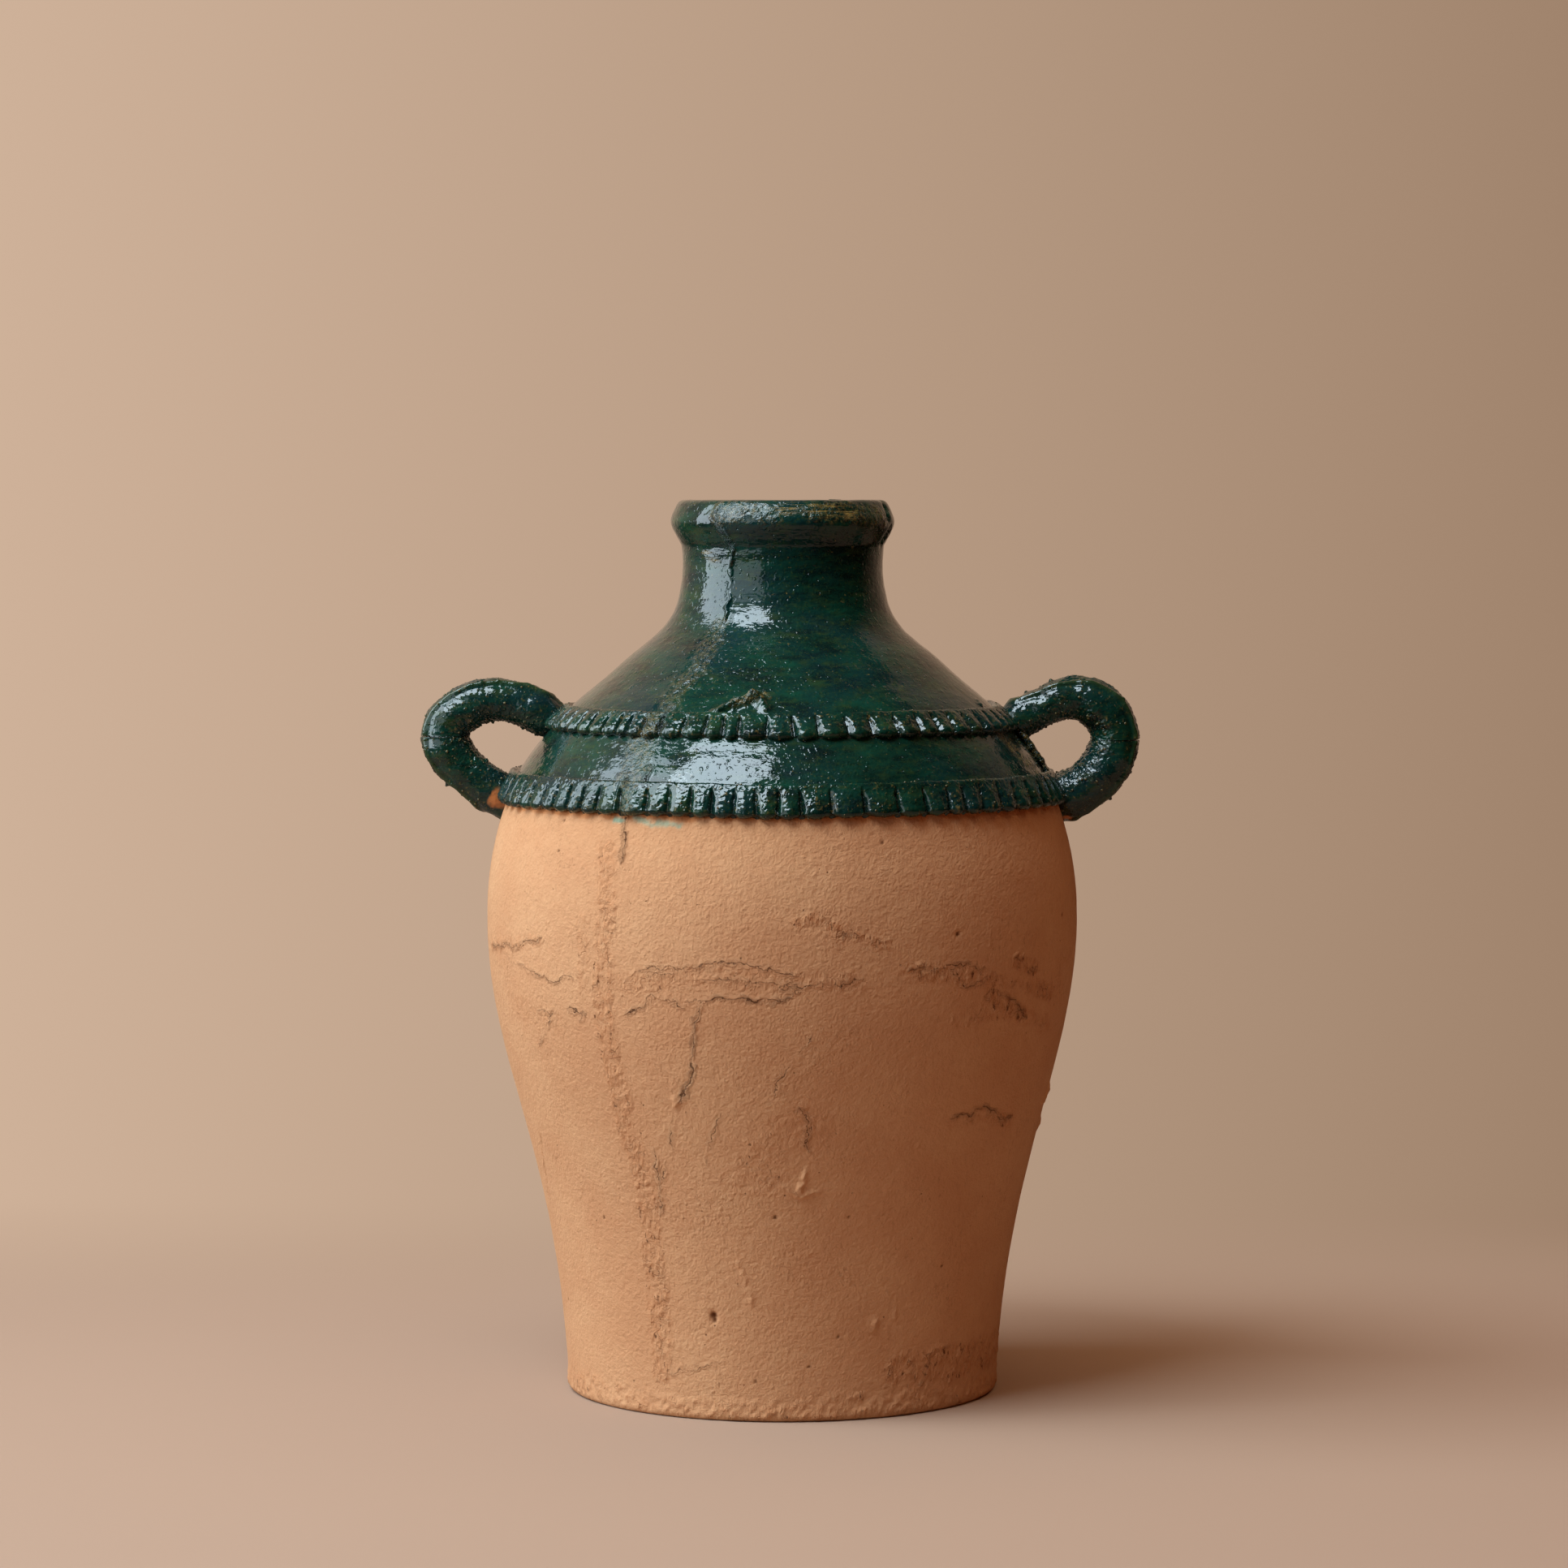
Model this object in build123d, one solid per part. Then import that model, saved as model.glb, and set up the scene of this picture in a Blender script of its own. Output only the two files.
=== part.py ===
from build123d import *
import math
import os

# A glazed terracotta olive jar, press-moulded in two halves, with two notched bands and two handles.
# Sizes are in millimetres. The jar stands on Z = 0 with its axis on Z and its handles along X.
# Outlines are drawn as (distance from the axis, height) and turned about Z.

# Overall
JAR_HEIGHT = 400
BELLY_RADIUS = 132.7
MOUTH_RADIUS = 36.5
WALL = 9                        # thickness of the pressed slabs
SEAM_ANGLE = 55                 # degrees from +X to the mould seam at the back; the other one is opposite
HALF_TURN = 180

# Base
BASE_THICKNESS = 11
FOOT_EDGE = 3                   # rounding round the bottom of the base slab
FOOT_RADIUS = BELLY_RADIUS * 0.7317

# Walls. Places on the outer line go with the jar's height and the belly's radius.
BELLY_HEIGHT = JAR_HEIGHT * 0.535
BELLY_JOINT_HEIGHT = JAR_HEIGHT * 0.47
SHOULDER_RADIUS = BELLY_RADIUS * 0.9005     # at the top of the lower band
SHOULDER_HEIGHT = JAR_HEIGHT * 0.69
CONE_RADIUS = BELLY_RADIUS * 0.7257         # at the top of the upper band, where the straight cone starts
CONE_HEIGHT = JAR_HEIGHT * 0.765
NECK_WAIST = 0.3                # how far the neck draws in below the rim
NECK_RADIUS = MOUTH_RADIUS + WALL - NECK_WAIST
NECK_HEIGHT = JAR_HEIGHT * 0.9275
NECK_TOP_RADIUS = MOUTH_RADIUS + WALL + NECK_WAIST
RIM_DEPTH = 20.7                # from the mouth down to the joint under the rim
BORE_DEPTH = 37                 # length of the straight bore below the mouth
JOINT_FALL = 4                  # how far a slanting joint drops from the outer face to the inner one
TAPER_shares = [(0.10, 0.18), (0.265, 0.352), (0.508, 0.526), (0.771, 0.70), (0.955, 0.87)]
SHOULDER_shares = [(0.17, 0.43), (0.57, 0.77)]
SHELF_shares = [(0.474, 0.533)]
CONE_shares = [(0.317, 0.215), (0.61, 0.415), (0.808, 0.547), (0.926, 0.68), (0.975, 0.812)]
INNER_POINTS = 13
INNER_END_share = 0.83          # of the outer line, from where the inner one runs straight to the bore
JOINT_REACH = 20                # how far the joint lines run past the belly
HALVINGS = 40                   # steps of the search for a height on the outer line

# Rim
RIM_ROLL = 5.6                  # how far its widest part stands out from the neck, before it is rounded
RIM_TOP_ROLL = 0.8
RIM_BULGE_DEPTH = 10            # from the mouth down to the widest part
RIM_ROUNDING = 6
LIP_ROUNDING = 2

# Notched bands
LOWER_BAND_HEIGHT = JAR_HEIGHT * 0.6785     # of the band's middle, on the wall
LOWER_BAND_WIDTH = 14
LOWER_BAND_THICKNESS = 3.6
LOWER_NOTCHES_PER_HALF = 35
UPPER_BAND_HEIGHT = JAR_HEIGHT * 0.7555
UPPER_BAND_WIDTH = 12.6
UPPER_BAND_THICKNESS = 2.9
UPPER_NOTCHES_PER_HALF = 29
BAND_ROUNDING = 1.4
BAND_BITE = 4                   # how far a band's blank reaches into the wall before it is cut back
NOTCH_RADIUS = 2.6
NOTCH_DEPTH = 1.7
NOTCH_STICK_LENGTH = 32         # of the round stick that is pressed across the bands
NOTCH_TILT = 5                  # degrees; the notches are deeper at the lower edge
NOTCH_GAP = 1.5                 # bare band left between a handle and the nearest notch

# Handles. A place on the arch is its share of the way from the upper root to the lower one and its
# share of the reach out from there. The coil's thickness is given at both roots.
UPPER_ROOT_HEIGHT = JAR_HEIGHT * 0.75225    # of the middle of a handle's upper end
LOWER_ROOT_HEIGHT = JAR_HEIGHT * 0.66925
HANDLE_REACH = 37               # from the roots to the middle of the coil at its furthest
HANDLE_THICKNESS = 21.6         # seen from the front, at the thickest
HANDLE_WIDTH = 24               # across, seen from the side
HANDLE_SECTIONS = 13
LEFT_ARCH_shares = [
    (0.02, -0.35),
    (0.06, 0.09),
    (0.115, 0.43),
    (0.27, 0.76),
    (0.49, 0.94),
    (0.80, 0.985),
    (0.985, 0.74),
    (1.045, 0.38),
    (1.04, 0.0),
    (1.0, -0.35),
]
LEFT_ROOT_shares = (0.86, 0.88)
RIGHT_ARCH_shares = [
    (0.02, -0.35),
    (0.08, 0.04),
    (0.13, 0.38),
    (0.24, 0.75),
    (0.46, 0.93),
    (0.79, 0.93),
    (1.0, 0.68),
    (1.085, 0.29),
    (1.05, -0.04),
    (1.0, -0.35),
]
RIGHT_ROOT_shares = (0.80, 0.98)

# Clay that seals the joints
BASE_COIL_RADIUS = 12           # hollow round of the coil in the corner between the base and the wall
SEAM_COIL_THICKNESS = 2.5
SEAM_COIL_WIDTH = 14
SEAM_COIL_TOP = JAR_HEIGHT * 0.63
SEAM_COIL_CLEARANCE = 0.05      # between the coil and the wall that it is smoothed on to
LUTING_THICKNESS = 1.8
LUTING_WIDTH = 22


def between(start, end, shares):
    """Points from start to end, by their shares of the way out and of the way up."""
    return [
        (start[0] + (end[0] - start[0]) * out, start[1] + (end[1] - start[1]) * up)
        for out, up in shares
    ]


def body_line():
    """The outer line of the wall, from the base slab up to the joint under the rim."""
    foot = (FOOT_RADIUS, BASE_THICKNESS)
    belly = (BELLY_RADIUS, BELLY_HEIGHT)
    shoulder = (SHOULDER_RADIUS, SHOULDER_HEIGHT)
    cone = (CONE_RADIUS, CONE_HEIGHT)
    neck = (NECK_RADIUS, NECK_HEIGHT)
    points = [foot, *between(foot, belly, TAPER_shares)]
    points += [belly, *between(belly, shoulder, SHOULDER_shares)]
    points += [shoulder, *between(shoulder, cone, SHELF_shares)]
    points += [cone, *between(cone, neck, CONE_shares)]
    points += [neck, (NECK_TOP_RADIUS, JAR_HEIGHT - RIM_DEPTH)]
    return Spline(*points)


def beside(line, share, distance):
    """The point at a share of a rising line and a distance to its left, which is inwards."""
    point = line @ share
    along = line % share
    return (point.X - along.Y * distance, point.Y + along.X * distance)


def inner_line(outer, thickness):
    """The inner line of the wall, from the base up to the foot of the bore."""
    shares = [INNER_END_share * step / (INNER_POINTS - 1) for step in range(INNER_POINTS)]
    points = [beside(outer, share, thickness) for share in shares]
    points[0] = (points[0][0], BASE_THICKNESS)
    bore_radius = MOUTH_RADIUS + WALL - thickness
    points.append((bore_radius, JAR_HEIGHT - BORE_DEPTH))
    slant = outer % 0
    return Spline(*points, tangents=[(slant.X, slant.Y), (0, 1)])


def wall_outline(outer):
    """The wall's section from the base slab to the joint under the rim."""
    inner = inner_line(outer, WALL)
    rim_joint = JAR_HEIGHT - RIM_DEPTH
    edges = [outer, inner]
    edges.append(Line((NECK_TOP_RADIUS, rim_joint), (MOUTH_RADIUS, rim_joint)))
    edges.append(Line((MOUTH_RADIUS, rim_joint), inner @ 1))
    edges.append(Line(inner @ 0, outer @ 0))
    return make_face(edges)


def envelope_outline(outer):
    """Everything inside the wall's outer line, down to the floor and in to the axis."""
    rim_joint = JAR_HEIGHT - RIM_DEPTH
    ends = [outer @ 0, (FOOT_RADIUS, 0), (0, 0), (0, rim_joint), outer @ 1]
    return make_face([outer, Polyline(*ends)])


def share_at(outer, height):
    """How far along the rising outer line it reaches a height, as a share of its length."""
    low, high = 0, 1
    for _ in range(HALVINGS):
        middle = (low + high) / 2
        if (outer @ middle).Y < height:
            low = middle
        else:
            high = middle
    return low


def joint_line(outer, height):
    """The ends of a slanting joint that meets the outer face at a height."""
    radius = (outer @ share_at(outer, height)).X
    slope = JOINT_FALL / WALL
    reach = BELLY_RADIUS + JOINT_REACH
    return (0, height - radius * slope), (reach, height + (reach - radius) * slope)


def level_line(height):
    """The ends of a flat joint."""
    return (0, height), (BELLY_RADIUS + JOINT_REACH, height)


def ring_between(wall, low, high):
    """The part of the wall's section between two joint lines."""
    return wall & make_face(Polyline(low[0], low[1], high[1], high[0], low[0]))


def rim_outline():
    """The rolled rim: a collar that is widest half way up, with a flat lip."""
    joint = JAR_HEIGHT - RIM_DEPTH
    bulge = JAR_HEIGHT - RIM_BULGE_DEPTH
    collar = [
        (MOUTH_RADIUS, joint),
        (NECK_TOP_RADIUS, joint),
        (NECK_TOP_RADIUS + RIM_ROLL, bulge),
        (NECK_TOP_RADIUS + RIM_TOP_ROLL, JAR_HEIGHT),
        (MOUTH_RADIUS, JAR_HEIGHT),
        (MOUTH_RADIUS, joint),
    ]
    outline = make_face(Polyline(*collar))
    widest = outline.vertices().sort_by(Axis.X)[-1]
    outline = fillet(widest, RIM_ROUNDING)
    top = outline.vertices().group_by(Axis.Y)[-1]
    return fillet(top, LIP_ROUNDING)


def base_outline():
    """The disc that the wall stands on, rounded round its foot."""
    corners = [(0, 0), (FOOT_RADIUS, 0), (FOOT_RADIUS, BASE_THICKNESS), (0, BASE_THICKNESS)]
    outline = make_face(Polyline(*corners, corners[0]))
    foot = outline.vertices().sort_by_distance(corners[1])[0]
    return fillet(foot, FOOT_EDGE)


def base_coil_outline(wall):
    """The coil pressed into the inner corner between the base slab and the wall."""
    inner_radius = FOOT_RADIUS - WALL
    edge = inner_radius - BASE_COIL_RADIUS
    top = BASE_THICKNESS + BASE_COIL_RADIUS
    corners = [(edge, BASE_THICKNESS), (FOOT_RADIUS, BASE_THICKNESS), (FOOT_RADIUS, top), (edge, top)]
    block = make_face(Polyline(*corners, corners[0]))
    return block - Pos(edge, top) * Circle(BASE_COIL_RADIUS) - wall


def seam_coil_outline(outer):
    """The coil smoothed over the inside of a mould seam, from the base coil up past the belly."""
    back = inner_line(outer, WALL + SEAM_COIL_CLEARANCE)
    face = inner_line(outer, WALL + SEAM_COIL_THICKNESS)
    skin = make_face([back, face, Line(back @ 0, face @ 0), Line(back @ 1, face @ 1)])
    low = level_line(BASE_THICKNESS + BASE_COIL_RADIUS)
    return ring_between(skin, low, level_line(SEAM_COIL_TOP))


def strip_outline(outer, height, width, thickness):
    """A strip of clay laid on the wall, with its middle at a height and its outer face along the wall."""
    middle = share_at(outer, height)
    reach = width / 2 / outer.length
    face = [beside(outer, middle + side * reach, -thickness) for side in (-1, 0, 1)]
    back = [beside(outer, middle + side * reach, BAND_BITE) for side in (1, -1)]
    strip = make_face([Spline(*face), Polyline(face[-1], *back, face[0])])
    corners = [strip.vertices().sort_by_distance(end)[0] for end in (face[0], face[-1])]
    return fillet(corners, BAND_ROUNDING)


def half(outline, side):
    """One half of the jar's turn: side 0 is the left half and side 1 the right one."""
    return Rot(0, 0, SEAM_ANGLE + side * HALF_TURN) * revolve(Plane.XZ * outline, Axis.Z, HALF_TURN)


def sector(outline, angle, width, radius):
    """A short stretch of a turned outline, centred on an angle, of a width at a radius."""
    turn = math.degrees(width / radius)
    return Rot(0, 0, angle - turn / 2) * revolve(Plane.XZ * outline, Axis.Z, turn)


def notched_half(outer, outline, side, notches, height, thickness):
    """Half a band, with round notches pressed across it everywhere but under the handle."""
    share = share_at(outer, height)
    slope = outer % share
    x, z = beside(outer, share, NOTCH_DEPTH - NOTCH_RADIUS - thickness)
    along = Vector(slope.X, 0, slope.Y).rotate(Axis.Y, -NOTCH_TILT)
    tool = Plane((x, 0, z), x_dir=(0, 1, 0), z_dir=along) * Cylinder(NOTCH_RADIUS, NOTCH_STICK_LENGTH)
    covered = math.degrees((HANDLE_WIDTH / 2 + NOTCH_RADIUS + NOTCH_GAP) / x)
    tools = []
    for notch in range(notches):
        angle = SEAM_ANGLE + side * HALF_TURN + (notch + 0.5) * HALF_TURN / notches
        from_handle = abs((angle + HALF_TURN / 2) % HALF_TURN - HALF_TURN / 2)
        if from_handle > covered:
            tools.append(Rot(0, 0, angle) * tool)
    return half(outline, side) - tools


def root_middle(outer, height, thickness):
    """The middle of a handle's root, as far out from the wall as the band under it."""
    return Vector(*beside(outer, share_at(outer, height), -thickness))


def handle(outer, envelope, arch_shares, root_shares):
    """A coil bent out from the upper band and back to the lower one, fitted over both."""
    upper = root_middle(outer, UPPER_ROOT_HEIGHT, UPPER_BAND_THICKNESS)
    lower = root_middle(outer, LOWER_ROOT_HEIGHT, LOWER_BAND_THICKNESS)
    down = lower - upper
    out = Vector(-down.Y, down.X).normalized() * HANDLE_REACH
    arch = Spline(*[upper + down * along + out * away for along, away in arch_shares])
    sections = []
    for section in range(HANDLE_SECTIONS):
        share = section / (HANDLE_SECTIONS - 1)
        root = root_shares[0] + (root_shares[1] - root_shares[0]) * share
        size = root + (1 - root) * math.sin(math.pi * share)
        place = arch @ share
        course = arch % share
        cut = Plane((place.X, 0, place.Y), x_dir=(0, 1, 0), z_dir=(course.X, 0, course.Y))
        sections.append(cut * Ellipse(HANDLE_WIDTH * size / 2, HANDLE_THICKNESS * size / 2))
    trimmed = loft(sections) - envelope
    return trimmed.solids().sort_by(SortBy.VOLUME)[-1]


outer = body_line()
wall = wall_outline(outer)
lower_strip = strip_outline(outer, LOWER_BAND_HEIGHT, LOWER_BAND_WIDTH, LOWER_BAND_THICKNESS)
upper_strip = strip_outline(outer, UPPER_BAND_HEIGHT, UPPER_BAND_WIDTH, UPPER_BAND_THICKNESS)
body = envelope_outline(outer)
envelope = revolve(Plane.XZ * (body + lower_strip + upper_strip), Axis.Z)

belly_joint = joint_line(outer, BELLY_JOINT_HEIGHT)
shoulder_joint = joint_line(outer, LOWER_BAND_HEIGHT)
neck_joint = joint_line(outer, UPPER_BAND_HEIGHT)
rings = {
    "lower_wall": ring_between(wall, level_line(0), belly_joint),
    "upper_wall": ring_between(wall, belly_joint, shoulder_joint),
    "shoulder_wall": ring_between(wall, shoulder_joint, neck_joint),
    "neck_wall": ring_between(wall, neck_joint, level_line(JAR_HEIGHT)),
    "rim": rim_outline(),
}

bands = {
    "lower_band": (lower_strip, LOWER_NOTCHES_PER_HALF, LOWER_BAND_HEIGHT, LOWER_BAND_THICKNESS),
    "upper_band": (upper_strip, UPPER_NOTCHES_PER_HALF, UPPER_BAND_HEIGHT, UPPER_BAND_THICKNESS),
}

nodes = {
    "base_slab": revolve(Plane.XZ * base_outline(), Axis.Z),
    "base_coil": revolve(Plane.XZ * base_coil_outline(wall), Axis.Z),
}
for side, hand in enumerate(["left", "right"]):
    for name, outline in rings.items():
        nodes[f"{name}_{hand}"] = half(outline, side)
    for name, band in bands.items():
        nodes[f"{name}_{hand}"] = notched_half(outer, band[0] - body, side, *band[1:])
seam_strip = seam_coil_outline(outer)
nodes["seam_coil_back"] = sector(seam_strip, SEAM_ANGLE, SEAM_COIL_WIDTH, BELLY_RADIUS)
nodes["seam_coil_front"] = sector(seam_strip, SEAM_ANGLE + HALF_TURN, SEAM_COIL_WIDTH, BELLY_RADIUS)
nodes["right_handle"] = handle(outer, envelope, RIGHT_ARCH_shares, RIGHT_ROOT_shares)
left_handle = handle(outer, envelope, LEFT_ARCH_shares, LEFT_ROOT_shares)
nodes["left_handle"] = mirror(left_handle, Plane.YZ)

luting_height = (LOWER_BAND_HEIGHT + UPPER_BAND_HEIGHT) / 2
luting_strip = strip_outline(outer, luting_height, UPPER_BAND_HEIGHT - LOWER_BAND_HEIGHT, LUTING_THICKNESS)
luting = luting_strip - body - lower_strip - upper_strip
luting_pad = sector(luting, 0, LUTING_WIDTH, SHOULDER_RADIUS) - nodes["right_handle"]
nodes["right_handle_luting"] = luting_pad.solids().sort_by(SortBy.VOLUME)[-1]

os.makedirs("parts", exist_ok=True)
for name, node in nodes.items():
    export_step(node, f"parts/{name}.step")
    print(name, len(node.solids()), round(node.volume))
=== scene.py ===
import math
from itertools import product

import bmesh
import bpy
import numpy as np
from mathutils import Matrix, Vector
from mathutils.bvhtree import BVHTree


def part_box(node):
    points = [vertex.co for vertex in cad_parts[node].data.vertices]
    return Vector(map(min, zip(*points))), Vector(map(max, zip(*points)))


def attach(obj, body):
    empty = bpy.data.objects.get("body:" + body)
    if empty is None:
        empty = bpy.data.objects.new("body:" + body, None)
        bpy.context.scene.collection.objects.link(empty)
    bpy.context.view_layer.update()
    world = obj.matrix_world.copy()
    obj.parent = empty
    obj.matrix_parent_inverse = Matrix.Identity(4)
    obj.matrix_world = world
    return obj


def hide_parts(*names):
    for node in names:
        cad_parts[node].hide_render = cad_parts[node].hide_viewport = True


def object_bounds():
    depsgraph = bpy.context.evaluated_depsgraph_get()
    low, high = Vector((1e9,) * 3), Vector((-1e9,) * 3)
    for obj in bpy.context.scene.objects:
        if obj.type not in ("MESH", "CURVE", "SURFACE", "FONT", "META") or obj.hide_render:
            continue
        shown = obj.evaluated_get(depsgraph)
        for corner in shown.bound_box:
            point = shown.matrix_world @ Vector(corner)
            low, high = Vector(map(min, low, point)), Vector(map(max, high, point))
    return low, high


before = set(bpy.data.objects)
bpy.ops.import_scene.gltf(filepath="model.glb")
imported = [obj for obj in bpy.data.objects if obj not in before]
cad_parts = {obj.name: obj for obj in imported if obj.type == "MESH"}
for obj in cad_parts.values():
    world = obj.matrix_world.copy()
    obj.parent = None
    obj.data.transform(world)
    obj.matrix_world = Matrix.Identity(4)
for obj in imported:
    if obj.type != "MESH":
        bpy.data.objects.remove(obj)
CAD_LOW, CAD_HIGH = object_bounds()

bl_info = {
    "name": "Olive Jar",
    "version": (1, 0, 0),
    "blender": (4, 5, 0),
    "location": "View3D > Sidebar > Olive Jar",
    "description": "Dresses an olive jar's frame in pressed clay, green glaze and a paper sweep",
    "category": "Object",
}

# Lengths below are in millimetres unless they say otherwise; a mesh is in metres, as the frame is.
MM = 0.001
HALF_TURN = math.pi
FULL_TURN = 6.28                # for grains that lie any way round

# The photographer's camera, found from the foot's ellipse and the level mouth
IMAGE_SIDE = 1932
SENSOR_WIDTH = 36
LENS = 114.3
CAMERA_DISTANCE = 2236.9
CAMERA_HEIGHT = 400
CAMERA_PITCH = math.radians(3.2745)
CAMERA_SIDESTEP = 0.73          # puts the jar's axis two pixels left of the middle

# Places on the jar by pixels of the photograph. A crack has its strength, the height of its lifted lip and
# its course; a scrape has half its width, its strength and its course.
CLAY_CRACKS = {
    "join_top_left": (0.55, 0.25, [(772, 1208), (782, 1200), (796, 1193), (815, 1192), (839, 1193),
                                   (868, 1189), (908, 1186), (935, 1192), (980, 1202)]),
    "join_below_left": (0.5, 0.2, [(801, 1201), (841, 1202), (881, 1208), (914, 1208), (948, 1213),
                                   (980, 1222)]),
    "join_middle": (0.5, 0.2, [(940, 1215), (965, 1213), (991, 1215), (1024, 1213), (1058, 1210)]),
    "flap_left": (0.7, 0.3, [(772, 1249), (790, 1240), (798, 1231), (820, 1229), (828, 1234), (839, 1240)]),
    "flap_middle": (1.1, 0.5, [(849, 1233), (863, 1235), (880, 1230), (892, 1232), (916, 1229), (935, 1235),
                               (970, 1232)]),
    "fall": (1.5, 0.8, [(865, 1237), (859, 1253), (853, 1269), (855, 1299), (851, 1326), (846, 1343),
                        (839, 1358)]),
    "fall_end": (0.6, 0.2, [(838, 1372), (827, 1384), (827, 1401), (828, 1416), (820, 1435), (817, 1450)]),
    "hair_left": (0.45, 0.1, [(887, 1377), (874, 1411), (869, 1440)]),
    "hair_middle": (0.5, 0.2, [(999, 1280), (986, 1298), (968, 1318), (959, 1334), (956, 1350)]),
    "far_left": (0.7, 0.3, [(607, 1165), (620, 1163), (632, 1166), (650, 1160), (664, 1156)]),
    "left_sag": (0.7, 0.3, [(638, 1186), (662, 1202), (683, 1210), (702, 1201)]),
    "left_fork": (0.8, 0.4, [(665, 1244), (677, 1248), (683, 1245), (672, 1269), (665, 1285)]),
    "left_hook": (0.6, 0.3, [(702, 1244), (718, 1248), (715, 1256)]),
    "join_right": (0.85, 0.4, [(1122, 1194), (1136, 1190), (1149, 1196), (1162, 1194), (1170, 1189),
                              (1194, 1188), (1213, 1194)]),
    "join_below_right": (0.7, 0.3, [(1176, 1198), (1189, 1213), (1192, 1218), (1208, 1208), (1229, 1202)]),
    "right_wave": (0.9, 0.4, [(1177, 1378), (1187, 1374), (1198, 1378), (1203, 1369), (1213, 1363),
                              (1226, 1369), (1233, 1382), (1244, 1377)]),
    "right_tear": (0.9, 0.4, [(1235, 1229), (1252, 1229), (1257, 1242), (1265, 1253)]),
    "far_right": (0.9, 0.4, [(1252, 1182), (1262, 1190), (1273, 1194)]),
    "middle_patch": (0.6, 0.3, [(987, 1369), (994, 1382), (994, 1413)]),
    "seam_below_band": (1.8, 0.9, [(768, 985), (771, 1012), (768, 1039), (765, 1058)]),
    "seam_edge": (0.7, 0.5, [(806, 1416), (811, 1454), (813, 1493)]),
    "foot_hair": (0.4, 0.1, [(829, 1691), (855, 1686), (882, 1679)]),
}
CLAY_SCRAPES = {
    "seam_strip": (5.8, 0.6, [(747, 1050), (747, 1130), (741, 1221), (750, 1299), (762, 1343), (771, 1396),
                              (788, 1437), (799, 1481), (801, 1513), (804, 1559), (809, 1587), (812, 1622),
                              (815, 1690)]),
    "side_strip": (3.6, 0.4, [(718, 1135), (718, 1218)]),
    "join_left": (5.0, 0.4, [(772, 1213), (870, 1200), (980, 1212)]),
    "join_middle": (4.0, 0.45, [(935, 1208), (995, 1209), (1060, 1212)]),
    "high_middle": (2.0, 0.85, [(985, 1135), (1004, 1132), (1031, 1145)]),
    "high_right": (2.0, 0.85, [(1028, 1151), (1060, 1155), (1093, 1163)]),
    "join_right": (4.5, 0.78, [(1122, 1195), (1200, 1205), (1295, 1222)]),
    "below_right": (4.5, 0.5, [(1181, 1255), (1235, 1245), (1290, 1262)]),
    "dark_right": (3.6, 1.0, [(1222, 1228), (1246, 1240), (1262, 1250)]),
    "far_right": (3.2, 1.0, [(1252, 1184), (1275, 1192)]),
    "low_specks": (9.0, 0.3, [(930, 1440), (960, 1400), (1010, 1390)]),
    "low_middle": (6.0, 0.35, [(900, 1455), (960, 1460)]),
    "right_wave": (3.6, 0.5, [(1177, 1382), (1210, 1374), (1244, 1382)]),
    "middle_patch": (4.0, 0.45, [(985, 1369), (1000, 1390), (1006, 1410)]),
    "far_left": (3.0, 0.6, [(607, 1165), (640, 1160), (664, 1158)]),
    "left_fork": (6.0, 0.25, [(640, 1240), (690, 1262)]),
    "foot_stain": (9.0, 0.8, [(1110, 1690), (1170, 1680), (1228, 1655)]),
    "dotted_line": (0.8, 0.8, [(665, 1396), (669, 1430), (676, 1474)]),
}
# Ridges have half their width, their height and their course; a negative height is a groove.
CLAY_RIDGES = {
    "star_stem": (1.0, 1.3, [(991, 1444), (988, 1456), (985, 1468)]),
    "star_arms": (1.0, 1.0, [(966, 1463), (982, 1475), (1006, 1468)]),
    "bow": (0.9, 0.5, [(910, 1555), (917, 1573), (922, 1591), (926, 1608)]),
    "scratch": (0.9, 0.5, [(1083, 1574), (1105, 1602), (1100, 1624)]),
    "pimple_right": (1.8, 1.3, [(1077, 1630), (1078, 1632)]),
    "pimple_left": (1.8, 1.2, [(831, 1358), (832, 1361)]),
    "fork_mark": (0.7, 0.4, [(1119, 1409), (1127, 1416), (1134, 1408)]),
    "edge_lump": (2.4, 1.2, [(1291, 1341), (1284, 1359)]),
    "edge_lump_low": (1.8, 0.9, [(1281, 1379), (1280, 1384)]),
    "high_lump": (1.8, 0.8, [(1296, 1149), (1296, 1154)]),
}
# Pits have their radius, their depth and their place.
CLAY_PITS = [
    (1.6, 1.6, (879, 1621)), (1.1, 1.1, (880, 1627)), (1.0, 1.1, (1181, 1151)), (0.8, 0.6, (1087, 1038)),
    (0.7, 0.6, (695, 1011)), (0.7, 0.6, (688, 1048)), (0.8, 0.6, (1310, 1127)), (0.7, 0.5, (931, 1702)),
    (0.7, 0.5, (997, 1684)), (0.7, 0.5, (1033, 1647)), (0.6, 0.5, (850, 1005)), (0.9, 0.5, (955, 1500)),
    (0.6, 0.5, (1046, 1500)), (0.7, 0.5, (1161, 1560)), (0.7, 0.5, (744, 1500)), (0.6, 0.5, (700, 1600)),
]
GLAZE_CRACKS = {
    "upper_band": (1.0, 0.5, [(827, 870), (815, 888), (803, 906)]),
    "patch_edge": (0.9, 0.8, [(801, 946), (795, 963), (771, 970)]),
    "lower_band": (1.0, 0.4, [(771, 962), (768, 985), (770, 1010)]),
    "rim": (0.9, 0.9, [(886, 622), (888, 650), (903, 677)]),
}
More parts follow.
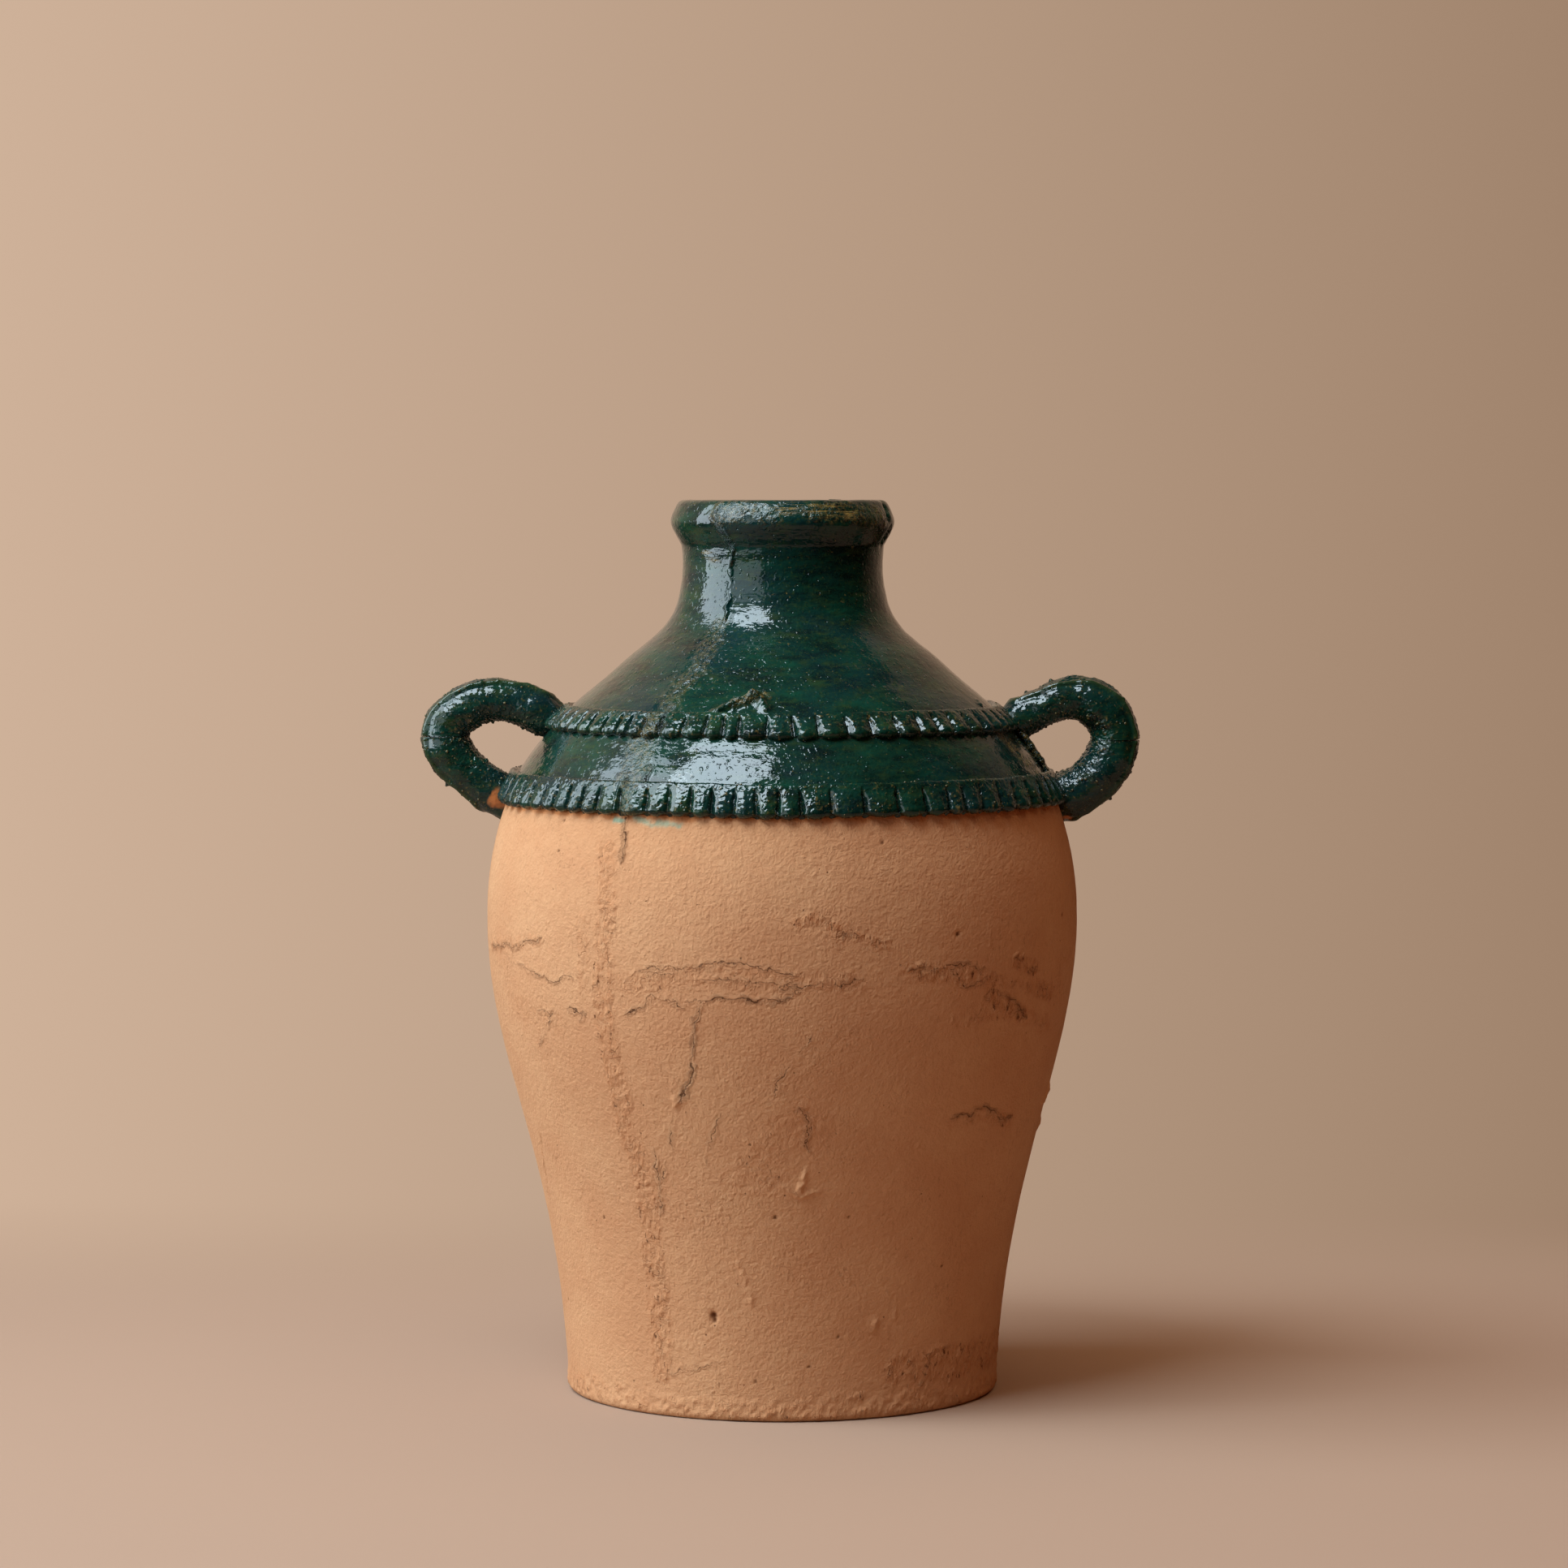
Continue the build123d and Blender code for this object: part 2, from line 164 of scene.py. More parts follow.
GLAZE_SCRAPES = {
    "cone_streak": (5.5, 0.26, [(885, 770), (868, 811), (851, 833), (829, 855), (827, 874)]),
    "shoulder_patch": (8.0, 0.42, [(792, 908), (786, 935), (776, 962)]),
    "rim_patch": (5.5, 0.4, [(885, 632), (925, 630), (950, 634)]),
    "rim_right": (5.0, 0.5, [(1000, 632), (1045, 630), (1090, 640)]),
    "luting_shade": (7.0, 0.8, [(1236, 905), (1262, 935), (1285, 962)]),
    "drip_patch": (3.0, 0.7, [(905, 868), (940, 858)]),
}
BAND_SCRAPES = {
    "upper_seam": (5.0, 0.6, [(800, 885), (790, 910)]),
    "lower_seam": (4.0, 0.5, [(775, 962), (770, 1000)]),
}
GLAZE_RIDGES = {
    "neck_seam": (0.9, 0.9, [(903, 680), (901, 700), (898, 735), (893, 762)]),
    "seam_knot_high": (1.6, 0.9, [(904, 690), (903, 694)]),
    "seam_knot_low": (1.6, 0.8, [(897, 744), (896, 748)]),
    "rim_flap": (1.6, 1.0, [(884, 626), (886, 650), (901, 676)]),
    "cone_seam": (0.8, 0.28, [(893, 762), (868, 811), (851, 833), (829, 855)]),
    "wedge": (2.4, 2.8, [(882, 880), (905, 870), (932, 858)]),
    "wedge_foot": (2.2, 2.2, [(928, 858), (939, 864), (941, 874)]),
    "glaze_tear": (1.7, 1.1, [(1208, 867), (1209, 870)]),
    "rim_chip_high": (2.6, -1.4, [(1092, 625), (1096, 640)]),
    "rim_chip_low": (2.2, -1.2, [(1096, 655), (1088, 668)]),
}
BARE_MARKS = {
    "rim_front": (3.2, 0.8, [(965, 628), (1010, 627), (1050, 632)]),
    "rim_right": (2.6, 0.3, [(1055, 625), (1085, 632)]),
    "neck_left": (2.0, 0.4, [(868, 682), (884, 692)]),
}
SCUFFS = {
    "left": (0.8, 0.7, [(757, 1010), (765, 1011)]),
    "right": (0.8, 0.55, [(785, 1010), (812, 1015), (840, 1018)]),
}
# Notches that the photograph shows on each band, from left to right, by their column
LOWER_NOTCH_COLUMNS = [
    650, 666, 680, 697, 714, 734, 760, 794, 821, 849, 875, 903, 930, 958, 986, 1024, 1065, 1107, 1141, 1170,
    1190, 1212, 1235, 1255, 1273, 1288,
]
UPPER_NOTCH_COLUMNS = [
    709, 723, 740, 758, 771, 788, 810, 840, 868, 890, 909, 944, 977, 1007, 1044, 1074, 1106, 1134, 1156, 1177,
    1197, 1214,
]
# The middle of each handle's coil as (x, height) and the coil's thickness there
LEFT_COIL = [
    ((-99.0, 299.0), 15.0), ((-106.7, 303.0), 18.7), ((-118.3, 308.2), 19.0), ((-132.0, 309.9), 18.9),
    ((-142.7, 306.0), 20.2), ((-151.4, 296.2), 21.2), ((-148.4, 285.0), 21.0), ((-139.2, 275.5), 19.7),
    ((-128.6, 267.6), 19.3), ((-121.0, 261.5), 16.0),
]
RIGHT_COIL = [
    ((98.0, 297.0), 14.0), ((105.7, 300.7), 17.5), ((117.2, 306.6), 17.7), ((131.4, 311.0), 19.2),
    ((141.6, 307.4), 21.6), ((149.2, 295.6), 21.4), ((147.2, 283.5), 22.2), ((137.3, 271.9), 21.6),
    ((127.0, 266.2), 21.2), ((119.5, 261.5), 17.0),
]
# The patch at each handle's lower root that the glaze missed: its middle and its radius
UNGLAZED = {"left": ((-127.5, -8.0, 266.0), 4.6), "right": ((127.5, -5.0, 258.0), 2.6)}
WALL_NODES = ["lower_wall", "upper_wall", "shoulder_wall", "neck_wall"]
INNER_ROWS = 12                 # rows of faces on the plain inner side of each wall
BAND_CELL = 0.5                 # size of the faces on the bands, which are pressed most finely
CRACK_REACH = 5.0               # farthest that a crack changes the skin beside it
GLAZE_OVER_BAND = 6             # how far above the lower band's foot the bare clay counts as ended
BACK_JOIN_HEIGHT = 186          # where the belly's join is scraped behind
NOISE_TABLE = 4096              # random values that clay_noise draws from
NOISE_PRIMES = (73856093, 19349663, 83492791)
UP = np.array([0, 0, 1])
# The paper sweep, in metres: how far the floor runs, how round it turns up and how high it ends
SWEEP_FLOOR, SWEEP_BEND, SWEEP_TOP, SWEEP_COLUMNS, SWEEP_STEPS = 2.6, 1.2, 5.0, 96, 12
# Each lamp has its bearing from the front and its elevation in degrees, its distance, width and height in
# metres, and its power in watts.
LAMPS = {
    "softbox_high": (-41.0, 56.0, 1.75, 0.85, 0.9, 26.0),
    "window_left": (-83.0, 24.0, 2.2, 1.35, 2.7, 63.0),
    "window_front": (-43.0, 12.0, 2.2, 1.5, 1.2, 6.5),
}
LAMP_COLOUR = (0.74, 0.895, 1.0)
LAMP_TARGET = (0, 0, 0.25)
ROOM_COLOUR, ROOM_STRENGTH, ROOM_IN_GLAZE = "e8c4a0", 1.5, 0.02
GLAZE_CRACK_COLOUR = (0.002, 0.003, 0.002)      # linear: hardly any light comes out of a crack in the glaze
# Grains of grit on a square metre of the bands and of the handles, and where the handles' random draws start
BAND_GRAINS, HANDLE_GRAINS, HANDLE_GRAIN_SEED = 3.5e4, 9e4, 5
HANDLE_SEEDS = {"left": 3.0, "right": 8.0}


def linear(code):
    """An sRGB hex colour as the linear values that Blender works with."""
    shares = [int(code[start : start + 2], 16) / 255 for start in (0, 2, 4)]
    return tuple(share / 12.92 if share <= 0.04045 else ((share + 0.055) / 1.055) ** 2.4 for share in shares)


# Each size has its name, what it is, and its default, least and greatest value.
SIZES = {
    "mesh_cell": ("Mesh cell", "Size of the faces on the side that faces the camera", 0.85, 0.5, 5),
    "unevenness": ("Unevenness", "How far the hand-pressed walls wander from a true round", 0.5, 0, 2),
    "scrape_height": ("Scrape height", "Height of the torn clay in scraped places", 0.6, 0, 2),
    "notch_depth": ("Notch depth", "How deep a notch is pressed into a band", 2.0, 0, 3),
    "notch_width": ("Notch width", "Half the width of a notch at its widest", 2.5, 0.5, 5),
    "lobe_height": ("Lobe height", "How far the clay swells between two notches", 1.1, 0, 2),
    "glaze_grain": ("Glaze grain", "Height of the grains under the bands' and handles' glaze", 0.55, 0, 1),
    "flash_ridge": ("Flash ridge", "Height of the ridge that runs round the front of each handle", 1.3, 0, 3),
    "grit_size": ("Grit size", "Radius of the largest grain of grit", 0.75, 0.1, 2),
}
# Each colour has its name, what it is, and its sRGB hex value.
COLOURS = {
    "clay_pale": ("Pale clay", "Clay where its skin is dry and dusty", "d2a176"),
    "clay_deep": ("Deep clay", "Clay where its skin is denser", "c28a61"),
    "clay_flash": ("Flashed clay", "Orange clay beside the glaze", "b5703f"),
    # The dirt colour is also painted shade, in cracks and pits.
    "clay_dirt": ("Dirt", "Dark earth in cracks and scrapes", "633618"),
    "glaze_deep": ("Pooled glaze", "Glaze where it lies thick", "041a17"),
    "glaze_green": ("Green glaze", "Glaze at its usual thickness", "09402f"),
    "glaze_teal": ("Teal glaze", "Bluer clouds in the glaze", "082c30"),
    "glaze_olive": ("Thin glaze", "Glaze brushed so thin that the clay warms it", "31421d"),
    "glaze_gold": ("Grain tips", "Tips of grains that stand through the glaze", "93793f"),
    "glaze_scuff": ("Scuffed glaze", "Turquoise rubbed on to the bare clay", "6fa893"),
    # The sweep's two tones are painted light: its glow is paler on the lamp's side and darker on the far
    # side.
    "sweep_light": ("Lit sweep", "Paper sweep on the side of the lamp", "ceb199"),
    "sweep_shade": ("Shaded sweep", "Paper sweep on the far side", "a0846d"),
    "floor_paper": ("Floor", "Paper under the jar, which takes its shadow", "ac927f"),
    "room_glow": ("Room", "Warm light that the room sends back on to the jar's shaded side", "753d0e"),
}


class JarSizes(bpy.types.PropertyGroup):
    """Sizes of the jar's dressing that a user would change."""

    __annotations__ = {
        key: bpy.props.FloatProperty(
            name=name, description=what, default=default * MM, min=least * MM, max=greatest * MM, precision=5,
            unit="LENGTH",
        )
        for key, (name, what, default, least, greatest) in SIZES.items()
    }
    __annotations__["seed"] = bpy.props.IntProperty(
        name="Seed", description="Start of everything random", default=7, min=0,
    )


class JarColours(bpy.types.PropertyGroup):
    """Colours of the jar and of the sweep behind it."""

    __annotations__ = {
        key: bpy.props.FloatVectorProperty(
            name=name, description=what, subtype="COLOR", default=linear(code), min=0, max=1,
        )
        for key, (name, what, code) in COLOURS.items()
    }


def clay_noise(places, size, seed):
    """A smooth random value between -1 and 1 at each place, with lumps of a size in the places' own unit."""
    table = np.random.default_rng(seed).uniform(-1, 1, NOISE_TABLE)
    cells = places / size
    corner = np.floor(cells).astype(np.int64)
    share = cells - corner
    share = share * share * (3 - 2 * share)
    total = np.zeros(places.shape[:-1])
    for step in product((0, 1), repeat=3):
        node = corner + np.array(step)
        scattered = [node[..., axis] * prime for axis, prime in enumerate(NOISE_PRIMES)]
        index = (scattered[0] ^ scattered[1] ^ scattered[2]) % NOISE_TABLE
        weight = np.where(np.array(step) == 1, share, 1 - share).prod(axis=-1)
        total += table[index] * weight
    return total


def smooth_step(low, high, values):
    """0 below low, 1 above high and a smooth rise between them."""
    share = np.clip((values - low) / (high - low), 0, 1)
    return share * share * (3 - 2 * share)


def corners_of(mesh):
    """A mesh's corners in metres, as rows of an array."""
    return np.array([corner.co for corner in mesh.vertices])


def section_places(name):
    """The places, as (radius, height), that the corners of a turned node's triangles have."""
    spots = corners_of(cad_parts[name].data) / MM
    return np.unique(np.round(np.c_[np.hypot(spots[:, 0], spots[:, 1]), spots[:, 2]], 2), axis=0)


def wall_lines():
    """The wall's outer and inner lines from its foot to the joint under the rim, each sorted by height."""
    solids = [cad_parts[f"{name}_right"].data for name in WALL_NODES]
    corners, faces = [], []
    for solid in solids:
        faces += [[corner + len(corners) for corner in face.vertices] for face in solid.polygons]
        corners += [corner.co for corner in solid.vertices]
    tree = BVHTree.FromPolygons(corners, faces)
    spots = np.unique(np.concatenate([section_places(f"{name}_right") for name in WALL_NODES]), axis=0)
    lowest, highest = spots[:, 1].min() + 0.02, spots[:, 1].max() - 0.02
    outer, inner = [], []
    for radius, height in spots:
        level = min(max(height, lowest), highest) * MM
        face = tree.ray_cast(Vector((0, -1, level)), Vector((0, 1, 0)))[0]
        back = tree.ray_cast(Vector((0, 0, level)), Vector((0, -1, 0)))[0]
        # The corners of the joints between two pieces lie on neither face and are left out.
        if abs(radius + face.y / MM) < 0.6:
            outer.append((height, radius))
        elif abs(radius + back.y / MM) < 0.6:
            inner.append((height, radius))
    lines = []
    for line in (outer, inner):
        line = np.array(sorted(line))[:, ::-1]
        lines.append(line[np.concatenate(([True], np.diff(line[:, 1]) > 0.4))])
    return lines


OUTER_LINE, INNER_LINE = wall_lines()
FOOT_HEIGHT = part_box("base_slab")[1].z / MM
JOINT_HEIGHTS = [FOOT_HEIGHT] + [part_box(f"{name}_right")[1].z / MM for name in WALL_NODES]
INNER_HEIGHTS = [FOOT_HEIGHT] + [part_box(f"{name}_right")[0].z / MM for name in WALL_NODES[1:]]
INNER_HEIGHTS.append(JOINT_HEIGHTS[-1])
SEAM_MIDDLE = corners_of(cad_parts["seam_coil_back"].data).mean(axis=0)
SEAM = math.radians(round(math.degrees(math.atan2(SEAM_MIDDLE[1], SEAM_MIDDLE[0]))))
BELLY_RADIUS = OUTER_LINE[:, 0].max()
FOOT_TOP_RADIUS = OUTER_LINE[0, 0] - 1.5


def spokes(azimuths):
    """Level unit vectors that point away from the jar's axis."""
    return np.stack((np.cos(azimuths), np.sin(azimuths), np.zeros(len(azimuths))), axis=-1)


def turned(line, azimuths):
    """A line of (radius, height) turned round the axis: a row for each place, a column for each azimuth."""
    return line[:, 0, None, None] * spokes(azimuths) + line[:, 1, None, None] * UP


def through(line, heights):
    """Radii of a line of (radius, height) at heights, on a smooth curve through its places."""
    radius, height = line[:, 0], line[:, 1]
    slope = np.gradient(radius, height)
    cell = np.clip(np.searchsorted(height, heights) - 1, 0, len(height) - 2)
    span = height[cell + 1] - height[cell]
    share = np.clip((heights - height[cell]) / span, 0, 1)
    rise = share * share * (3 - 2 * share)
    start = radius[cell] * (1 - rise) + radius[cell + 1] * rise
    bend = (share * (1 - share) ** 2 * slope[cell] - share * share * (1 - share) * slope[cell + 1]) * span
    return start + bend


def evenly(places, step):
    """A course of (radius, height) places cut into equal steps of about a length."""
    run = np.concatenate(([0], np.cumsum(np.hypot(*np.diff(places, axis=0).T))))
    marks = np.linspace(0, run[-1], max(2, int(round(run[-1] / step)) + 1))
    return np.c_[np.interp(marks, run, places[:, 0]), np.interp(marks, run, places[:, 1])]


def wall_course(low, high, step):
    """The outer line between two heights, cut into equal steps."""
    heights = np.linspace(low, high, 400)
    return evenly(np.c_[through(OUTER_LINE, heights), heights], step)


def rim_course(step):
    """The rolled rim's outline, from the joint on its outside over the lip and down the bore to the joint."""
    spots = section_places("rim_right")
    middle = spots.mean(axis=0)
    turn = np.arctan2(spots[:, 1] - middle[1], spots[:, 0] - middle[0])
    corner = spots[np.argmin(spots[:, 1] * 10 - spots[:, 0])]
    first = math.atan2(corner[1] - middle[1], corner[0] - middle[0])
    order = np.argsort((turn - first + 1e-6) % (2 * math.pi))
    course = evenly(spots[order], step)
    # The roll is rounder than its facets: each place but the joint's moves to the middle of its neighbours.
    for _ in range(int(9 / step)):
        course[1:-1] = (course[:-2] + 2 * course[1:-1] + course[2:]) / 4
    return course


def foot_course(step):
    """The base slab's outline, from the middle of its underside out round the foot and up to the wall."""
    spots = section_places("base_slab")
    edge = spots[spots[:, 0] > spots[:, 0].max() - 4]
    edge = edge[np.lexsort((edge[:, 0], edge[:, 1]))]
    inside = np.linspace(2, edge[0, 0] - 1, 12)
    return np.concatenate((np.c_[inside, np.zeros(12)], evenly(edge, step)))


def columns(half, cell):
    """Azimuths of a half's columns: close together where the camera sees them and wider behind."""
    dense = cell / BELLY_RADIUS
    start = SEAM + half * HALF_TURN
    ends = [start, start + HALF_TURN]
    turn = math.radians(178) if half == 0 else math.radians(362)
    first, second = (2.1 * dense, dense) if half == 0 else (dense, 2.1 * dense)
    before = np.linspace(ends[0], turn, int((turn - ends[0]) / first) + 1)
    after = np.linspace(turn, ends[1], int((ends[1] - turn) / second) + 1)
    return np.concatenate((before, after[1:]))


def on_jar(pixels, lift=0.0):
    """Where camera rays through pixels of the photograph meet the jar's outer face, raised by a lift."""
    focal = LENS / SENSOR_WIDTH * IMAGE_SIDE
    pixels = np.asarray(pixels, float)
    right = (pixels[:, 0] - IMAGE_SIDE / 2) / focal
    down = (pixels[:, 1] - IMAGE_SIDE / 2) / focal
    rays = np.c_[right, math.cos(CAMERA_PITCH) - down * math.sin(CAMERA_PITCH),
                 -math.sin(CAMERA_PITCH) - down * math.cos(CAMERA_PITCH)]
    reach = np.linspace(CAMERA_DISTANCE - 150, CAMERA_DISTANCE + 10, 1200)
    start = np.array([CAMERA_SIDESTEP, -CAMERA_DISTANCE, CAMERA_HEIGHT])
    places = start + rays[:, None, :] * reach[None, :, None]
    heights = places[..., 2]
    radii = np.interp(heights, SKIN_LINE[:, 1], SKIN_LINE[:, 0]) + lift
    outside = np.hypot(places[..., 0], places[..., 1]) - radii
    hit = np.argmax(outside < 0, axis=1)
    missed = ~(outside < 0).any(axis=1)
    hit[missed] = np.argmin(outside[missed], axis=1)
    return places[np.arange(len(hit)), hit]


def skin_line():
    """The whole outer face as (radius, height), from the foot's edge to the rim's top."""
    rim = rim_course(0.5)
    rim = rim[: np.argmax(rim[:, 1] >= rim[:, 1].max() - 0.01) + 1]
    foot = foot_course(0.5)[12:]
    heights = np.linspace(JOINT_HEIGHTS[0], JOINT_HEIGHTS[-1], 800)
    wall = np.c_[through(OUTER_LINE, heights), heights]
    return np.concatenate((foot[:-1], wall, rim[1:]))


SKIN_LINE = skin_line()


def near_course(places, course, reach):
    """Distance from places to a course, capped at a reach, and the side that each place is on."""
    distance = np.full(len(places), float(reach))
    side = np.zeros(len(places))
    for start, end in zip(course[:-1], course[1:]):
        low = np.minimum(start, end) - reach
        high = np.maximum(start, end) + reach
        close = np.flatnonzero(((places > low) & (places < high)).all(axis=1))
        if len(close) == 0:
            continue
        run = end - start
        offset = places[close] - start
        share = np.clip(offset @ run / max(run @ run, 1e-9), 0, 1)
        gap = np.linalg.norm(offset - share[:, None] * run, axis=1)
        nearer = gap < distance[close]
        chosen = close[nearer]
        distance[chosen] = gap[nearer]
        out = places[chosen] * np.array([1, 1, 0])
        side[chosen] = np.sign((np.cross(run, offset[nearer]) * out).sum(axis=1))
    return distance, side


def torn(places, seed):
    """Places shifted a little at random, so that what is measured from them has ragged edges."""
    shift = [
        clay_noise(places, 4.0, seed + axis) + 0.6 * clay_noise(places, 1.7, seed + 5 + axis)
        for axis in range(3)
    ]
    return places + 1.25 * np.stack(shift, axis=-1)


def marks_relief(places, sizes, seed, cracks, scrapes, ridges, lift=0.0):
    """Height of the marks at places on the jar, and what the finishes read: how open the clay is cracked, how
    far to one side the nearest crack runs, in millimetres, and how badly the skin is scraped."""
    ragged = torn(places, seed)
    height = np.zeros(len(places))
    crack = np.zeros(len(places))
    beside = np.full(len(places), CRACK_REACH)
    scrape = np.zeros(len(places))
    wear = np.clip(0.7 + 0.8 * clay_noise(places, 7.0, seed + 21), 0.2, 1.0)
    crumble = 0.55 + 0.9 * clay_noise(places, 2.6, seed + 22)
    for strength, lip, pixels in cracks.values():
        distance, side = near_course(ragged, on_jar(pixels, lift), CRACK_REACH)
        nearer = distance < np.abs(beside)
        beside[nearer] = (distance * np.where(side < 0, -1, 1))[nearer]
        crack = np.maximum(crack, strength * wear * (1 - smooth_step(1.2, 2.6, distance)))
        bank = np.where(side > 0, 1, -0.35) * np.exp(-(((distance - 0.8) / 1.3) ** 2))
        height += 0.7 * lip * wear * crumble * bank
        height -= 0.35 * strength * wear * np.exp(-((distance / 0.8) ** 2))
    tearing = clay_noise(places, 1.9, seed + 31) + 0.7 * clay_noise(places, 4.6, seed + 32)
    for half_width, strength, pixels in scrapes.values():
        distance = near_course(ragged, on_jar(pixels, lift), half_width + 3)[0]
        patch = strength * (1 - smooth_step(half_width * 0.7, half_width + 1.2, distance))
        scrape = np.maximum(scrape, patch * smooth_step(-0.9, 0.6, tearing + 0.5))
    height += sizes.scrape_height / MM * scrape * tearing
    for half_width, rise, pixels in ridges.values():
        distance = near_course(ragged, on_jar(pixels, lift), half_width * 3)[0]
        crest = rise * np.exp(-((distance / half_width) ** 2))
        height += crest * (1 + 0.25 * clay_noise(places, 1.5, seed + 41))
    return height, np.clip(crack, 0, 1), beside, np.clip(scrape, 0, 1)


def line_marks(places, marks, seed):
    """How strongly places are covered by painted or bare marks."""
    ragged = torn(places, seed)
    cover = np.zeros(len(places))
    for half_width, strength, pixels in marks.values():
        distance = near_course(ragged, on_jar(pixels), half_width + 4)[0]
        cover = np.maximum(cover, strength * (1 - smooth_step(half_width * 0.4, half_width + 1.2, distance)))
    return cover


def wander(places, sizes):
    """How far a hand-pressed wall stands off the true round: slow swells and the press marks of fingers."""
    slow = clay_noise(places, 95.0, sizes.seed) + 0.5 * clay_noise(places, 42.0, sizes.seed + 1)
    fingers = clay_noise(places * np.array([1, 1, 2.2]), 17.0, sizes.seed + 2)
    return sizes.unevenness / MM * (0.6 * slow + 0.14 * fingers - 0.35)


def relief(places, sizes):
    """Height of everything on the jar's skin, and the values that its finishes read."""
    flat = places.reshape(-1, 3)
    height = wander(flat, sizes)
    height += 0.05 * clay_noise(flat, 5.0, sizes.seed + 3) + 0.04 * clay_noise(flat, 2.4, sizes.seed + 4)
    level = flat[:, 2]
    glaze_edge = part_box("lower_band_right")[0].z / MM + GLAZE_OVER_BAND
    bare = level < glaze_edge
    crack, scrape = np.zeros(len(flat)), np.zeros(len(flat))
    beside = np.full(len(flat), CRACK_REACH)
    for zone, marks, seed in (
        (level < glaze_edge + 12, (CLAY_CRACKS, CLAY_SCRAPES, CLAY_RIDGES), sizes.seed + 100),
        (level >= glaze_edge - 12, (GLAZE_CRACKS, GLAZE_SCRAPES, GLAZE_RIDGES), sizes.seed + 200),
    ):
        rise, zone_crack, zone_beside, zone_scrape = marks_relief(flat[zone], sizes, seed, *marks)
        height[zone] += rise
        crack[zone] = np.maximum(crack[zone], zone_crack)
        beside[zone] = np.where(np.abs(zone_beside) < np.abs(beside[zone]), zone_beside, beside[zone])
        scrape[zone] = np.maximum(scrape[zone], zone_scrape)
    # Each pit is darkened inside: earth in it and painted shade in its hollow.
    dark = np.zeros(len(flat))
    for radius, depth, pixel in CLAY_PITS:
        distance = np.linalg.norm(flat - on_jar([pixel])[0], axis=1)
        height -= depth * np.exp(-((distance / radius) ** 2))
        dark = np.maximum(dark, np.exp(-((distance / radius) ** 4)))
    foot = smooth_step(17.0, 5.0, level + 4 * clay_noise(flat, 11.0, sizes.seed + 5))
    torn_foot = clay_noise(flat, 2.1, sizes.seed + 6) + 0.8 * clay_noise(flat, 5.5, sizes.seed + 7)
    height += 0.42 * foot * torn_foot
    # The back has its own scrapes and cracks, because no wall of such a jar is free of them.
    behind = smooth_step(0.0, 60.0, flat[:, 1])
    join = level - BACK_JOIN_HEIGHT - 9 * clay_noise(flat, 60.0, sizes.seed + 8)
    band = np.exp(-((join / 6.0) ** 2)) * smooth_step(-0.1, 0.5, clay_noise(flat, 13.0, sizes.seed + 9)) * 0.8
    scrape = np.maximum(scrape, behind * bare * band)
    turn = np.arctan2(flat[:, 1], flat[:, 0])
    seam_off = (turn - SEAM) * np.hypot(flat[:, 0], flat[:, 1]) + 4 * clay_noise(flat, 50.0, sizes.seed + 10)
    strip = np.exp(-((seam_off / 4.5) ** 4)) * (flat[:, 1] > 0) * bare
    scrape = np.maximum(scrape, strip * smooth_step(-0.6, 0.4, clay_noise(flat, 7.0, sizes.seed + 11)) * 0.9)
    height += sizes.scrape_height / MM * behind * scrape * clay_noise(flat, 1.9, sizes.seed + 12)
    seam_ridge = np.exp(-((seam_off / 1.1) ** 2)) * (flat[:, 1] > 0) * ~bare
    height += 0.7 * seam_ridge
    # Brush strokes run round the glazed part.
    strokes = clay_noise(flat * np.array([1, 1, 9]), 26.0, sizes.seed + 13)
    height += np.where(bare, 0, 0.07) * strokes
    # The front wears roughest round the belly's join and down the shaded side.
    wear = clay_noise(flat, 24.0, sizes.seed + 15) + 0.6 * clay_noise(flat, 9.0, sizes.seed + 16)
    rough = smooth_step(0.15, 0.75, wear)
    below = glaze_edge - GLAZE_OVER_BAND - level + 1.6 * clay_noise(flat, 5.0, sizes.seed + 14)
    values = {
        "crack": crack,
        "beside": beside,
        "rough": np.where(bare, rough, 0.3 * rough),
        "scrape": np.clip(np.maximum(scrape, 0.6 * foot * smooth_step(-0.5, 0.7, torn_foot)), 0, 1),
        "dark": dark,
        # Orange from the fire by the glaze, strongest in a strip about 2 mm deep under the lower band, where
        # it is also painted shade
        "flash": 0.75 * smooth_step(2.6, 0.8, below) + 0.15 * smooth_step(22.0, 0.0, below),
        "bare": line_marks(flat, BARE_MARKS, sizes.seed + 300),
        "scuff": line_marks(flat, SCUFFS, sizes.seed + 310),
    }
    allowed = min(BELLY_RADIUS, CAD_HIGH.y / MM) - 0.02 - np.hypot(flat[:, 0], flat[:, 1])
    height = np.where(height > allowed, allowed, height)
    shape = places.shape[:2]
    return height.reshape(shape), {name: value.reshape(shape) for name, value in values.items()}


SKINS = {}


